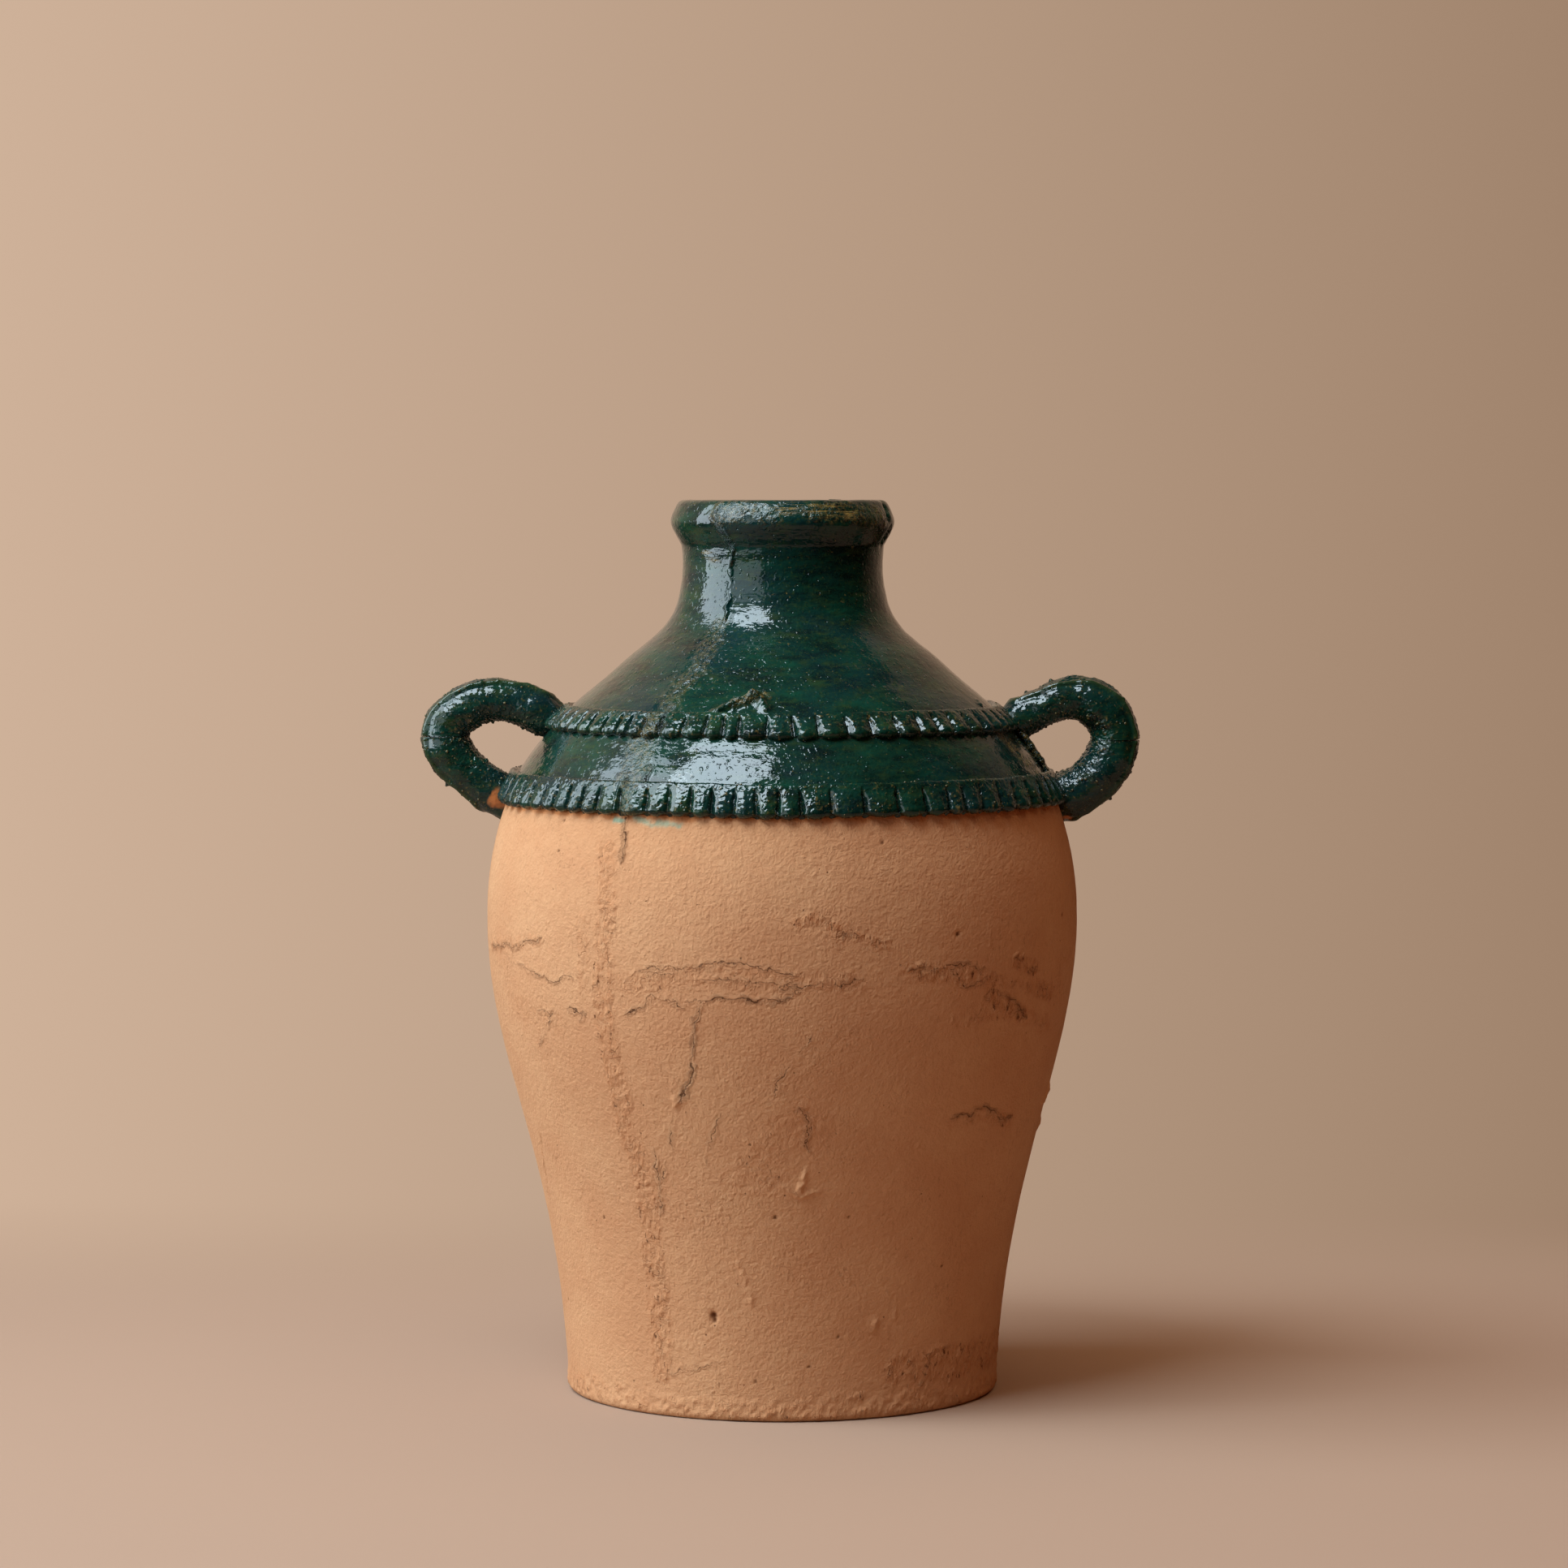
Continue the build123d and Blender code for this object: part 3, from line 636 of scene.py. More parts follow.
def skin(half, sizes):
    """One half of the jar's displaced skin: its places, its normals, its values and each piece's rows."""
    if half in SKINS:
        return SKINS[half]
    step = sizes.mesh_cell / MM
    courses = {"base_slab": foot_course(step)}
    for name, low, high in zip(WALL_NODES, JOINT_HEIGHTS[:-1], JOINT_HEIGHTS[1:]):
        courses[name] = wall_course(low, high, step)
    courses["rim"] = rim_course(step * 0.8)
    rows, line = {}, []
    for name, course in courses.items():
        first = len(line) - 1 if line else 0
        line += list(course if not line else course[1:])
        rows[name] = slice(first, len(line))
    line = np.array(line)
    along = np.gradient(line, axis=0)
    along /= np.linalg.norm(along, axis=1)[:, None]
    out = np.c_[along[:, 1], -along[:, 0]]
    azimuths = columns(half, step)
    ghosts = np.concatenate(([2 * azimuths[0] - azimuths[1]], azimuths, [2 * azimuths[-1] - azimuths[-2]]))
    places = turned(line, ghosts)
    height, values = relief(places, sizes)
    # The bore and the underside are left nearly plain.
    height *= np.where((out[:, 0] > -0.5) & (out[:, 1] > -0.6), 1.0, 0.12)[:, None]
    places = places + height[..., None] * turned(out, ghosts)
    places[..., 2] = np.clip(places[..., 2], 0, CAD_HIGH.z / MM)
    across = np.gradient(places, axis=1)
    upward = np.gradient(places, axis=0)
    facing = np.cross(across, upward)
    facing /= np.maximum(np.linalg.norm(facing, axis=-1), 1e-9)[..., None]
    SKINS[half] = {
        "azimuths": azimuths,
        "places": places[:, 1:-1],
        "normals": facing[:, 1:-1],
        "values": {name: value[:, 1:-1] for name, value in values.items()},
        "rows": rows,
    }
    return SKINS[half]


def grid_faces(row_count, column_count, ring):
    """Quads between the rows of a grid; a ring also joins its last row to its first."""
    rows = np.arange(row_count if ring else row_count - 1)
    cols = np.arange(column_count - 1)
    low = rows[:, None] * column_count + cols[None, :]
    high = ((rows + 1) % row_count)[:, None] * column_count + cols[None, :]
    return np.stack((low, low + 1, high + 1, high), axis=-1).reshape(-1, 4)


def grid_ends(row_count, column_count):
    """The flat faces that close a ring's two ends."""
    first = [row * column_count for row in range(row_count)]
    return [first, [corner + column_count - 1 for corner in reversed(first)]]


def in_scene(name, data):
    """A new object in the scene."""
    thing = bpy.data.objects.new(name, data)
    bpy.context.scene.collection.objects.link(thing)
    return thing


def note(mesh, name, value):
    """Stores a value at each corner of a mesh, where the finishes read it."""
    mesh.attributes.new(name, "FLOAT", "POINT").data.foreach_set("value", value.astype(np.float32))


def make_piece(name, places, faces, normals, values, materials, back_faces=()):
    """A finished piece from places in millimetres; back_faces take the second material."""
    mesh = bpy.data.meshes.new(name)
    mesh.from_pydata((places * MM).tolist(), [], faces)
    for material in materials:
        mesh.materials.append(material)
    for value_name, value in values.items():
        note(mesh, value_name, value)
    index = np.zeros(len(mesh.polygons), np.int32)
    index[list(back_faces)] = min(1, len(materials) - 1)
    mesh.polygons.foreach_set("material_index", index)
    mesh.shade_smooth()
    mesh.update()
    if normals is not None:
        mesh.normals_split_custom_set_from_vertices(normals.tolist())
    return in_scene(name, mesh)


def finish_piece(piece, slot, *nodes):
    """Puts a finished piece in the place of the nodes that it stands for."""
    if nodes:
        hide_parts(*nodes)
    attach(piece, "root")
    return piece


def wall_piece(name, half, sizes, materials):
    """One pressed half ring of the wall: the skin outside, a plain face inside and flat ends at the seam."""
    shell = skin(half, sizes)
    rows = shell["rows"][name]
    outer = shell["places"][rows]
    facing = shell["normals"][rows]
    turn = spokes(shell["azimuths"])
    if name == "rim":
        ring, ring_normals, inner_rows = outer, facing, 0
    else:
        place = WALL_NODES.index(name)
        heights = np.linspace(INNER_HEIGHTS[place + 1], INNER_HEIGHTS[place], INNER_ROWS)
        inner = turned(np.c_[through(INNER_LINE, heights), heights], shell["azimuths"])
        inner = inner + 0.4 * clay_noise(inner, 21.0, sizes.seed + 50)[..., None] * turn
        inner_normals = np.broadcast_to(-turn, inner.shape)
        ring = np.concatenate((outer, inner))
        ring_normals = np.concatenate((facing, inner_normals))
        inner_rows = len(inner)
    row_count, column_count = ring.shape[:2]
    faces = grid_faces(row_count, column_count, True).tolist() + grid_ends(row_count, column_count)
    back = range((row_count - inner_rows) * (column_count - 1), row_count * (column_count - 1))
    values = {}
    for value_name, value in shell["values"].items():
        filled = np.zeros((row_count, column_count))
        filled[: len(outer)] = value[rows]
        values[value_name] = filled.ravel()
    hand = ("left", "right")[half]
    slot = "terracotta" if name in ("lower_wall", "upper_wall") else "green_glaze"
    piece = make_piece(
        f"{name}_{hand}_clay", ring.reshape(-1, 3), faces, ring_normals.reshape(-1, 3), values, materials,
        back if inner_rows else (),
    )
    return finish_piece(piece, slot, f"{name}_{hand}")


def base_piece(sizes, material):
    """The slab that the wall stands on, with its worn foot edge and closed middles."""
    shells = [skin(half, sizes) for half in (0, 1)]
    rows = shells[0]["rows"]["base_slab"]
    side = np.concatenate([shell["places"][rows][:, :-1] for shell in shells], axis=1)
    facing = np.concatenate([shell["normals"][rows][:, :-1] for shell in shells], axis=1)
    azimuths = np.concatenate([shell["azimuths"][:-1] for shell in shells])
    top_line = np.c_[np.linspace(FOOT_TOP_RADIUS, 2, INNER_ROWS), np.full(INNER_ROWS, FOOT_HEIGHT)]
    top = turned(top_line, azimuths)
    grid = np.concatenate((side, top))
    row_count, column_count = grid.shape[:2]
    faces = grid_faces(row_count, column_count + 1, False)
    faces = (faces // (column_count + 1)) * column_count + (faces % (column_count + 1)) % column_count
    count = row_count * column_count
    places = np.concatenate((grid.reshape(-1, 3), [[0, 0, 0], [0, 0, FOOT_HEIGHT]]))
    fans = [[count, (column + 1) % column_count, column] for column in range(column_count)]
    lift = (row_count - 1) * column_count
    fans += [[count + 1, lift + column, lift + (column + 1) % column_count] for column in range(column_count)]
    top_facing = np.broadcast_to(UP, top.shape)
    normals = np.concatenate((np.concatenate((facing, top_facing)).reshape(-1, 3), [[0, 0, -1], [0, 0, 1]]))
    values = {}
    for value_name in shells[0]["values"]:
        edge = np.concatenate([shell["values"][value_name][rows][:, :-1] for shell in shells], axis=1)
        values[value_name] = np.concatenate((edge.ravel(), np.zeros(top.shape[0] * column_count + 2)))
    piece = make_piece("base_slab_clay", places, faces.tolist() + fans, normals, values, [material])
    return finish_piece(piece, "terracotta", "base_slab")


def add(tree, kind, *values, give=0, **settings):
    """Adds a node with its settings and gives one of its outputs back, or the node itself where give is None.

    The values go into the inputs in their order, or as a dictionary says by identifier, name or number. A
    socket is linked and anything else is set; a list links several sockets to one input.
    """
    node = tree.nodes.new(kind)
    for name, value in settings.items():
        setattr(node, name, value)
    wanted = values[0] if values and isinstance(values[0], dict) else dict(enumerate(values))
    for key, value in wanted.items():
        named = [socket for socket in node.inputs if socket.identifier == key]
        socket = named[0] if named else node.inputs[key]
        for source in value if isinstance(value, list) else [value]:
            if isinstance(source, bpy.types.NodeSocket):
                tree.links.new(source, socket)
            else:
                socket.default_value = source
    return node if give is None else node.outputs[give]


def product_of(tree, *values, clamp=True):
    """The product of values, kept between 0 and 1 unless clamp is off."""
    total = values[0]
    for value in values[1:]:
        total = add(tree, "ShaderNodeMath", total, value, operation="MULTIPLY", use_clamp=clamp)
    return total


def largest_of(tree, *values):
    """The largest of several values."""
    most = values[0]
    for value in values[1:]:
        most = add(tree, "ShaderNodeMath", most, value, operation="MAXIMUM")
    return most


def stacked(tree, *layers):
    """The sum of layers, each a value and how much of it counts."""
    total = 0.0
    for value, weight in layers:
        total = add(tree, "ShaderNodeMath", value, weight, total, operation="MULTIPLY_ADD")
    return total


def spread_noise(tree, spot, size, low=0.3, high=0.7, detail=3.0, roughness=0.6, give=(0.0, 1.0)):
    """Noise with lumps of a size in millimetres, spread from its usual range on to another."""
    noise = add(tree, "ShaderNodeTexNoise", {
        "Vector": spot, "Scale": 1 / (size * MM), "Detail": detail, "Roughness": roughness,
    })
    return add(tree, "ShaderNodeMapRange", noise, low, high, *give)


def start_tree(name, inputs):
    """A node tree that takes geometry and named inputs and gives geometry back."""
    tree = bpy.data.node_groups.new(name, "GeometryNodeTree")
    for direction in ("INPUT", "OUTPUT"):
        tree.interface.new_socket("Geometry", in_out=direction, socket_type="NodeSocketGeometry")
    for label, (kind, default) in inputs.items():
        socket = tree.interface.new_socket(label, in_out="INPUT", socket_type=f"NodeSocket{kind}")
        if default is not None:
            socket.default_value = default
    return tree, add(tree, "NodeGroupInput", give=None).outputs


def end_tree(tree, geometry, material):
    """Makes instances real, gives the material and hands the geometry back."""
    real = add(tree, "GeometryNodeRealizeInstances", geometry)
    dressed = add(tree, "GeometryNodeSetMaterial", {"Geometry": real, "Material": material})
    add(tree, "NodeGroupOutput", dressed, give=None)


def run_tree(piece, tree, inputs):
    """The plain mesh that a tree makes of a piece, with the tree's inputs set."""
    modifier = piece.modifiers.new(tree.name, "NODES")
    modifier.node_group = tree
    for item in tree.interface.items_tree:
        if item.in_out == "INPUT" and item.name in inputs:
            modifier[item.identifier] = inputs[item.name]
    graph = bpy.context.evaluated_depsgraph_get()
    shaped = piece.evaluated_get(graph)
    mesh = bpy.data.meshes.new_from_object(shaped, preserve_all_data_layers=True, depsgraph=graph)
    piece.modifiers.remove(modifier)
    return mesh


def with_notes(tree, geometry, notes):
    """Geometry that stores each note's value at its corners, where the finishes read it."""
    for name, value in notes.items():
        geometry = add(tree, "GeometryNodeStoreNamedAttribute", {
            "Geometry": geometry, "Name": name, "Value": value,
        }, data_type="FLOAT", domain="POINT")
    return geometry


def gritted(tree, surface, share, density, largest, seed):
    """A surface with half-sunk grains scattered where its share is high."""
    thick = product_of(tree, share, density, clamp=False)
    spots = add(tree, "GeometryNodeDistributePointsOnFaces", {
        "Mesh": surface, "Density": thick, "Seed": seed,
    })
    grain = add(tree, "GeometryNodeMeshIcoSphere", {"Radius": 1.0, "Subdivisions": 1})
    # Most grains are small, and a few are nearly as large as the largest.
    chance = add(tree, "FunctionNodeRandomValue", {"Seed": seed}, data_type="FLOAT", give=1)
    size = add(tree, "ShaderNodeMath", chance, 2.5, operation="POWER")
    size = add(tree, "ShaderNodeMapRange", size, 0.0, 1.0, 0.3, 1.0)
    size = product_of(tree, size, largest, clamp=False)
    turn = add(tree, "FunctionNodeRandomValue", {"Max": (FULL_TURN,) * 3, "Seed": seed},
               data_type="FLOAT_VECTOR")
    grains = add(tree, "GeometryNodeInstanceOnPoints", {
        "Points": spots, "Instance": grain, "Rotation": turn, "Scale": size,
    })
    grains = add(tree, "GeometryNodeRealizeInstances", grains)
    grains = add(tree, "GeometryNodeSetShadeSmooth", grains)
    return add(tree, "GeometryNodeJoinGeometry", [surface, with_notes(tree, grains, {"grain": 0.9})])


def notch_tree():
    """Presses a slim notch at every whole number of "place" and swells a rough lobe between each two."""
    tree, given = start_tree("press_notches", {
        "Depth": ("Float", 1.7 * MM), "Width": ("Float", 2.3 * MM), "Lobe": ("Float", 0.7 * MM),
        "Slant": ("Float", 0.6 * MM), "Drip": ("Float", 1.3 * MM), "Grain": ("Float", 0.2 * MM),
        "Grit": ("Float", 0.6 * MM), "Seed": ("Int", 0), "Material": ("Material", None),
    })
    place, pitch, across, lift, clear = [
        add(tree, "GeometryNodeInputNamedAttribute", {"Name": name}, data_type="FLOAT")
        for name in ("place", "pitch", "across", "lift", "clear")
    ]
    whole = add(tree, "ShaderNodeMath", place, operation="ROUND")
    offset = add(tree, "ShaderNodeMath", place, whole, operation="SUBTRACT")
    key = add(tree, "ShaderNodeMath", whole, given["Seed"], operation="ADD")
    chance = add(tree, "ShaderNodeTexWhiteNoise", {"W": key}, noise_dimensions="1D", give=None).outputs
    parts = add(tree, "ShaderNodeSeparateXYZ", chance["Color"], give=None).outputs
    # Each notch's middle line leans by its own amount.
    lean = add(tree, "ShaderNodeMapRange", chance["Value"], 0.0, 1.0, -1.0, 1.3)
    lean = product_of(tree, lean, given["Slant"], across, clamp=False)
    off = add(tree, "ShaderNodeMath", offset, pitch, lean, operation="MULTIPLY_ADD")
    position = add(tree, "GeometryNodeInputPosition")
    rag = spread_noise(tree, position, 3, 0.3, 0.7, 2.0, 0.5, (-0.35 * MM, 0.35 * MM))
    off = add(tree, "ShaderNodeMath", off, rag, operation="ADD")
    # The stick was pushed in from the right: the notch's left wall is steep and its right one a long slope.
    # It is widest below its middle and closes towards the ledge at the top.
    leaf = add(tree, "ShaderNodeMapRange", across, -0.2, 1.0, 1.0, 0.45, interpolation_type="SMOOTHSTEP")
    girth = add(tree, "ShaderNodeMapRange", parts["X"], 0.0, 1.0, 0.75, 1.2)
    width = product_of(tree, leaf, girth, given["Width"], clamp=False)
    right = add(tree, "ShaderNodeMath", off, 0.0, operation="GREATER_THAN")
    reach = add(tree, "ShaderNodeMapRange", right, 0.0, 1.0, 0.4, 1.05)
    reach = product_of(tree, reach, width, clamp=False)
    away = add(tree, "ShaderNodeMath", off, operation="ABSOLUTE")
    groove = add(tree, "ShaderNodeMapRange", away, 0.0, reach, 1.0, 0.0, interpolation_type="SMOOTHSTEP")
    open_end = add(tree, "ShaderNodeMapRange", across, 0.35, 0.8, 1.0, 0.0, interpolation_type="SMOOTHSTEP")
    force = add(tree, "ShaderNodeMapRange", parts["Y"], 0.0, 1.0, 0.65, 1.15)
    groove = product_of(tree, groove, open_end, force, clear, clamp=False)
    # Clay pushed out of a notch swells into the lobe beside it, most at the lower edge, and hangs under it.
    middle = add(tree, "ShaderNodeMath", offset, operation="ABSOLUTE")
    lobe = add(tree, "ShaderNodeMapRange", middle, 0.05, 0.45, interpolation_type="SMOOTHSTEP")
    low = add(tree, "ShaderNodeMapRange", across, 0.8, -0.5, 0.0, 1.0)
    swell = product_of(tree, lobe, low, given["Lobe"], clamp=False)
    lumps = add(tree, "ShaderNodeTexNoise", {
        "Vector": position, "Scale": 1 / (1.7 * MM), "Detail": 3.0, "Roughness": 0.65,
    })
    lumps = add(tree, "ShaderNodeMapRange", lumps, 0.3, 0.7, -1.0, 1.0, clamp=False)
    smooth = add(tree, "ShaderNodeMapRange", groove, 0.1, 0.6, 1.0, 0.25)
    grain = product_of(tree, lumps, given["Grain"], smooth, clamp=False)
    height = add(tree, "ShaderNodeMath", swell, grain, operation="ADD")
    press = product_of(tree, groove, given["Depth"], clamp=False)
    height = add(tree, "ShaderNodeMath", height, press, operation="SUBTRACT")
    height = product_of(tree, height, lift, clamp=False)
    normal = add(tree, "GeometryNodeInputNormal")
    move = add(tree, "ShaderNodeVectorMath", {0: normal, "Scale": height}, operation="SCALE")
    hang = add(tree, "ShaderNodeMapRange", across, -0.3, -0.95, 0.0, 1.0)
    hang = product_of(tree, hang, groove, given["Drip"], -1.0, clamp=False)
    fall = add(tree, "ShaderNodeCombineXYZ", {"Z": hang})
    move = add(tree, "ShaderNodeVectorMath", move, fall, operation="ADD")
    noted = with_notes(tree, given["Geometry"], {"pool": groove, "grain": lumps})
    moved = add(tree, "GeometryNodeSetPosition", {"Geometry": noted, "Offset": move})
    outer = product_of(tree, smooth, lift, clamp=False)
    grit = gritted(tree, moved, outer, BAND_GRAINS, given["Grit"], given["Seed"])
    end_tree(tree, grit, given["Material"])
    return tree


def coil_tree():
    """Rolls a coil of clay along a curve, flattens it a little, raises the flash ridge and roughens it."""
    tree, given = start_tree("roll_coil", {
        "Flatness": ("Float", 1.12), "Ridge": ("Float", 1.0 * MM), "Lump": ("Float", 1.1 * MM),
        "Nub": ("Float", 1.2 * MM), "Grain": ("Float", 0.4 * MM), "Grit": ("Float", 0.7 * MM),
        "Eye": ("Vector", (0.0, 0.0, 0.0)), "Around": ("Int", 150), "Along": ("Int", 370),
        "Seed": ("Float", 0.0), "Material": ("Material", None),
    })
    course = add(tree, "GeometryNodeResampleCurve", {"Curve": given["Geometry"], "Count": given["Along"]})
    course = add(tree, "GeometryNodeSetCurveNormal", {"Curve": course}, mode="Z_UP")
    middle = add(tree, "GeometryNodeInputPosition")
    course = add(tree, "GeometryNodeStoreNamedAttribute", {
        "Geometry": course, "Name": "middle", "Value": middle,
    }, data_type="FLOAT_VECTOR", domain="POINT")
    ring = add(tree, "GeometryNodeCurvePrimitiveCircle", {"Resolution": given["Around"], "Radius": MM})
    girth = add(tree, "GeometryNodeInputRadius")
    tube = add(tree, "GeometryNodeCurveToMesh", {
        "Curve": course, "Profile Curve": ring, "Scale": girth, "Fill Caps": True,
    })
    tube = add(tree, "GeometryNodeSetShadeSmooth", tube)
    heart = add(tree, "GeometryNodeInputNamedAttribute", {"Name": "middle"}, data_type="FLOAT_VECTOR")
    place = add(tree, "GeometryNodeInputPosition")
    radial = add(tree, "ShaderNodeVectorMath", place, heart, operation="SUBTRACT")
    sideways = add(tree, "ShaderNodeSeparateXYZ", radial, give="Y")
    spread = add(tree, "ShaderNodeMath", given["Flatness"], 1.0, operation="SUBTRACT")
    spread = product_of(tree, spread, sideways, clamp=False)
    spread = add(tree, "ShaderNodeCombineXYZ", {"Y": spread})
    flat = add(tree, "GeometryNodeSetPosition", {"Geometry": tube, "Offset": spread})
    # The flash ridge runs where the mould's halves met: on the front, a little inside the outer edge.
    facing = add(tree, "ShaderNodeVectorMath", radial, operation="NORMALIZE")
    away = add(tree, "ShaderNodeVectorMath", heart, given["Eye"], operation="SUBTRACT")
    away = add(tree, "ShaderNodeVectorMath", away, operation="NORMALIZE")
    outness = add(tree, "ShaderNodeVectorMath", facing, away, operation="DOT_PRODUCT", give="Value")
    front = add(tree, "ShaderNodeVectorMath", facing, (0.0, -1.0, 0.0), operation="DOT_PRODUCT", give="Value")
    waver = spread_noise(tree, place, 14, 0.0, 1.0, 2.0, 0.5, (-0.13, 0.13))
    course_out = add(tree, "ShaderNodeMath", outness, 0.74, operation="SUBTRACT")
    course_out = add(tree, "ShaderNodeMath", course_out, waver, operation="ADD")
    course_out = add(tree, "ShaderNodeMath", course_out, operation="ABSOLUTE")
    ridge = add(tree, "ShaderNodeMapRange", course_out, 0.0, 0.14, 1.0, 0.0, interpolation_type="SMOOTHSTEP")
    on_front = add(tree, "ShaderNodeMath", front, 0.0, operation="GREATER_THAN")
    ridge = product_of(tree, ridge, on_front, clamp=False)
    lumps, grain = [
        add(tree, "ShaderNodeTexNoise", {
            "Vector": place, "W": given["Seed"], "Scale": 1 / (size * MM), "Detail": detail,
            "Roughness": roughness,
        }, noise_dimensions="4D")
        for size, detail, roughness in ((9, 1.5, 0.5), (1.6, 3.0, 0.7))
    ]
    lumps = add(tree, "ShaderNodeMapRange", lumps, 0.3, 0.7, -0.5, 0.5, clamp=False)
    grain = add(tree, "ShaderNodeMapRange", grain, 0.3, 0.7, -1.0, 1.0, clamp=False)
    # The inner side of the loop and the outer edge are left rougher than the thumb-smoothed flanks.
    rough = add(tree, "ShaderNodeMapRange", outness, 0.15, -0.75, 0.12, 1.0)
    brim = add(tree, "ShaderNodeMapRange", outness, 0.8, 0.98, 0.0, 0.8)
    teeth = product_of(tree, grain, largest_of(tree, rough, brim), given["Grain"], clamp=False)
    # Crumbs of clay stuck to the edges stand out as nubs 2 mm wide.
    crumbs = add(tree, "ShaderNodeTexVoronoi", {"Vector": place, "Scale": 1 / (7.5 * MM)}, feature="F1")
    nub = add(tree, "ShaderNodeMapRange", crumbs, 0.2, 0.05, interpolation_type="SMOOTHSTEP")
    edge = add(tree, "ShaderNodeMath", outness, operation="ABSOLUTE")
    at_edge = add(tree, "ShaderNodeMapRange", edge, 0.55, 0.9)
    nub = product_of(tree, nub, at_edge, clamp=False)
    crest = product_of(tree, ridge, given["Ridge"], clamp=False)
    height = product_of(tree, lumps, given["Lump"], clamp=False)
    for layer in (teeth, crest):
        height = add(tree, "ShaderNodeMath", height, layer, operation="ADD")
    height = add(tree, "ShaderNodeMath", nub, given["Nub"], height, operation="MULTIPLY_ADD")
    normal = add(tree, "GeometryNodeInputNormal")
    move = add(tree, "ShaderNodeVectorMath", {0: normal, "Scale": height}, operation="SCALE")
    noted = with_notes(tree, flat, {"crest": ridge, "grain": grain})
    moved = add(tree, "GeometryNodeSetPosition", {"Geometry": noted, "Offset": move})
    gritty = add(tree, "ShaderNodeMapRange", outness, 0.3, -0.6, 0.12, 1.0)
    grit = gritted(tree, moved, gritty, HANDLE_GRAINS, given["Grit"], HANDLE_GRAIN_SEED)
    end_tree(tree, grit, given["Material"])
    return tree


def start_material(name):
    """An empty material: its tree and its shader, already linked to the output."""
    material = bpy.data.materials.new(name)
    material.use_nodes = True
    tree = material.node_tree
    tree.nodes.clear()
    shader = add(tree, "ShaderNodeBsdfPrincipled", give=None)
    add(tree, "ShaderNodeOutputMaterial", {"Surface": shader.outputs[0]}, give=None)
    return material, tree, shader


def coated(tree, ground, *coats):
    """A ground with coats laid over it in turn, each with its share; a colour comes without its alpha."""
    for share, coat in coats:
        under, over = [one if isinstance(one, bpy.types.NodeSocket) else (*one, 1) for one in (ground, coat)]
        ground = add(tree, "ShaderNodeMix", {"Factor_Float": share, "A_Color": under, "B_Color": over},
                     data_type="RGBA", give=2)
    return ground


def crack_shape(tree, spot):
    """How open a ragged crack is at a place, and how far its lips stand up beside it."""
    waver = spread_noise(tree, spot, 2.4, 0.3, 0.7, 5.0, 0.75, (-1.1, 1.1))
    strength, beside = [
        add(tree, "ShaderNodeAttribute", attribute_name=name, give="Fac") for name in ("crack", "beside")
    ]
    off = add(tree, "ShaderNodeMath", beside, waver, operation="ADD")
    off = add(tree, "ShaderNodeMath", off, operation="ABSOLUTE")
    reach = add(tree, "ShaderNodeMapRange", strength, 0.1, 1.0, 0.001, 0.6)
    gap = add(tree, "ShaderNodeMapRange", off, reach, 0.0, interpolation_type="SMOOTHSTEP")
    lip = add(tree, "ShaderNodeMapRange", off, 2.4, 0.5, interpolation_type="SMOOTHSTEP")
    return gap, product_of(tree, lip, strength)


def pricks(tree, spot, apart, radius):
    """1 in small round pits that lie about so many millimetres apart, and 0 around them."""
    off = add(tree, "ShaderNodeTexVoronoi", {"Vector": spot, "Scale": 1 / (apart * MM)}, feature="F1")
    brim = radius / apart
    return add(tree, "ShaderNodeMapRange", off, brim, brim * 0.4, interpolation_type="SMOOTHSTEP")


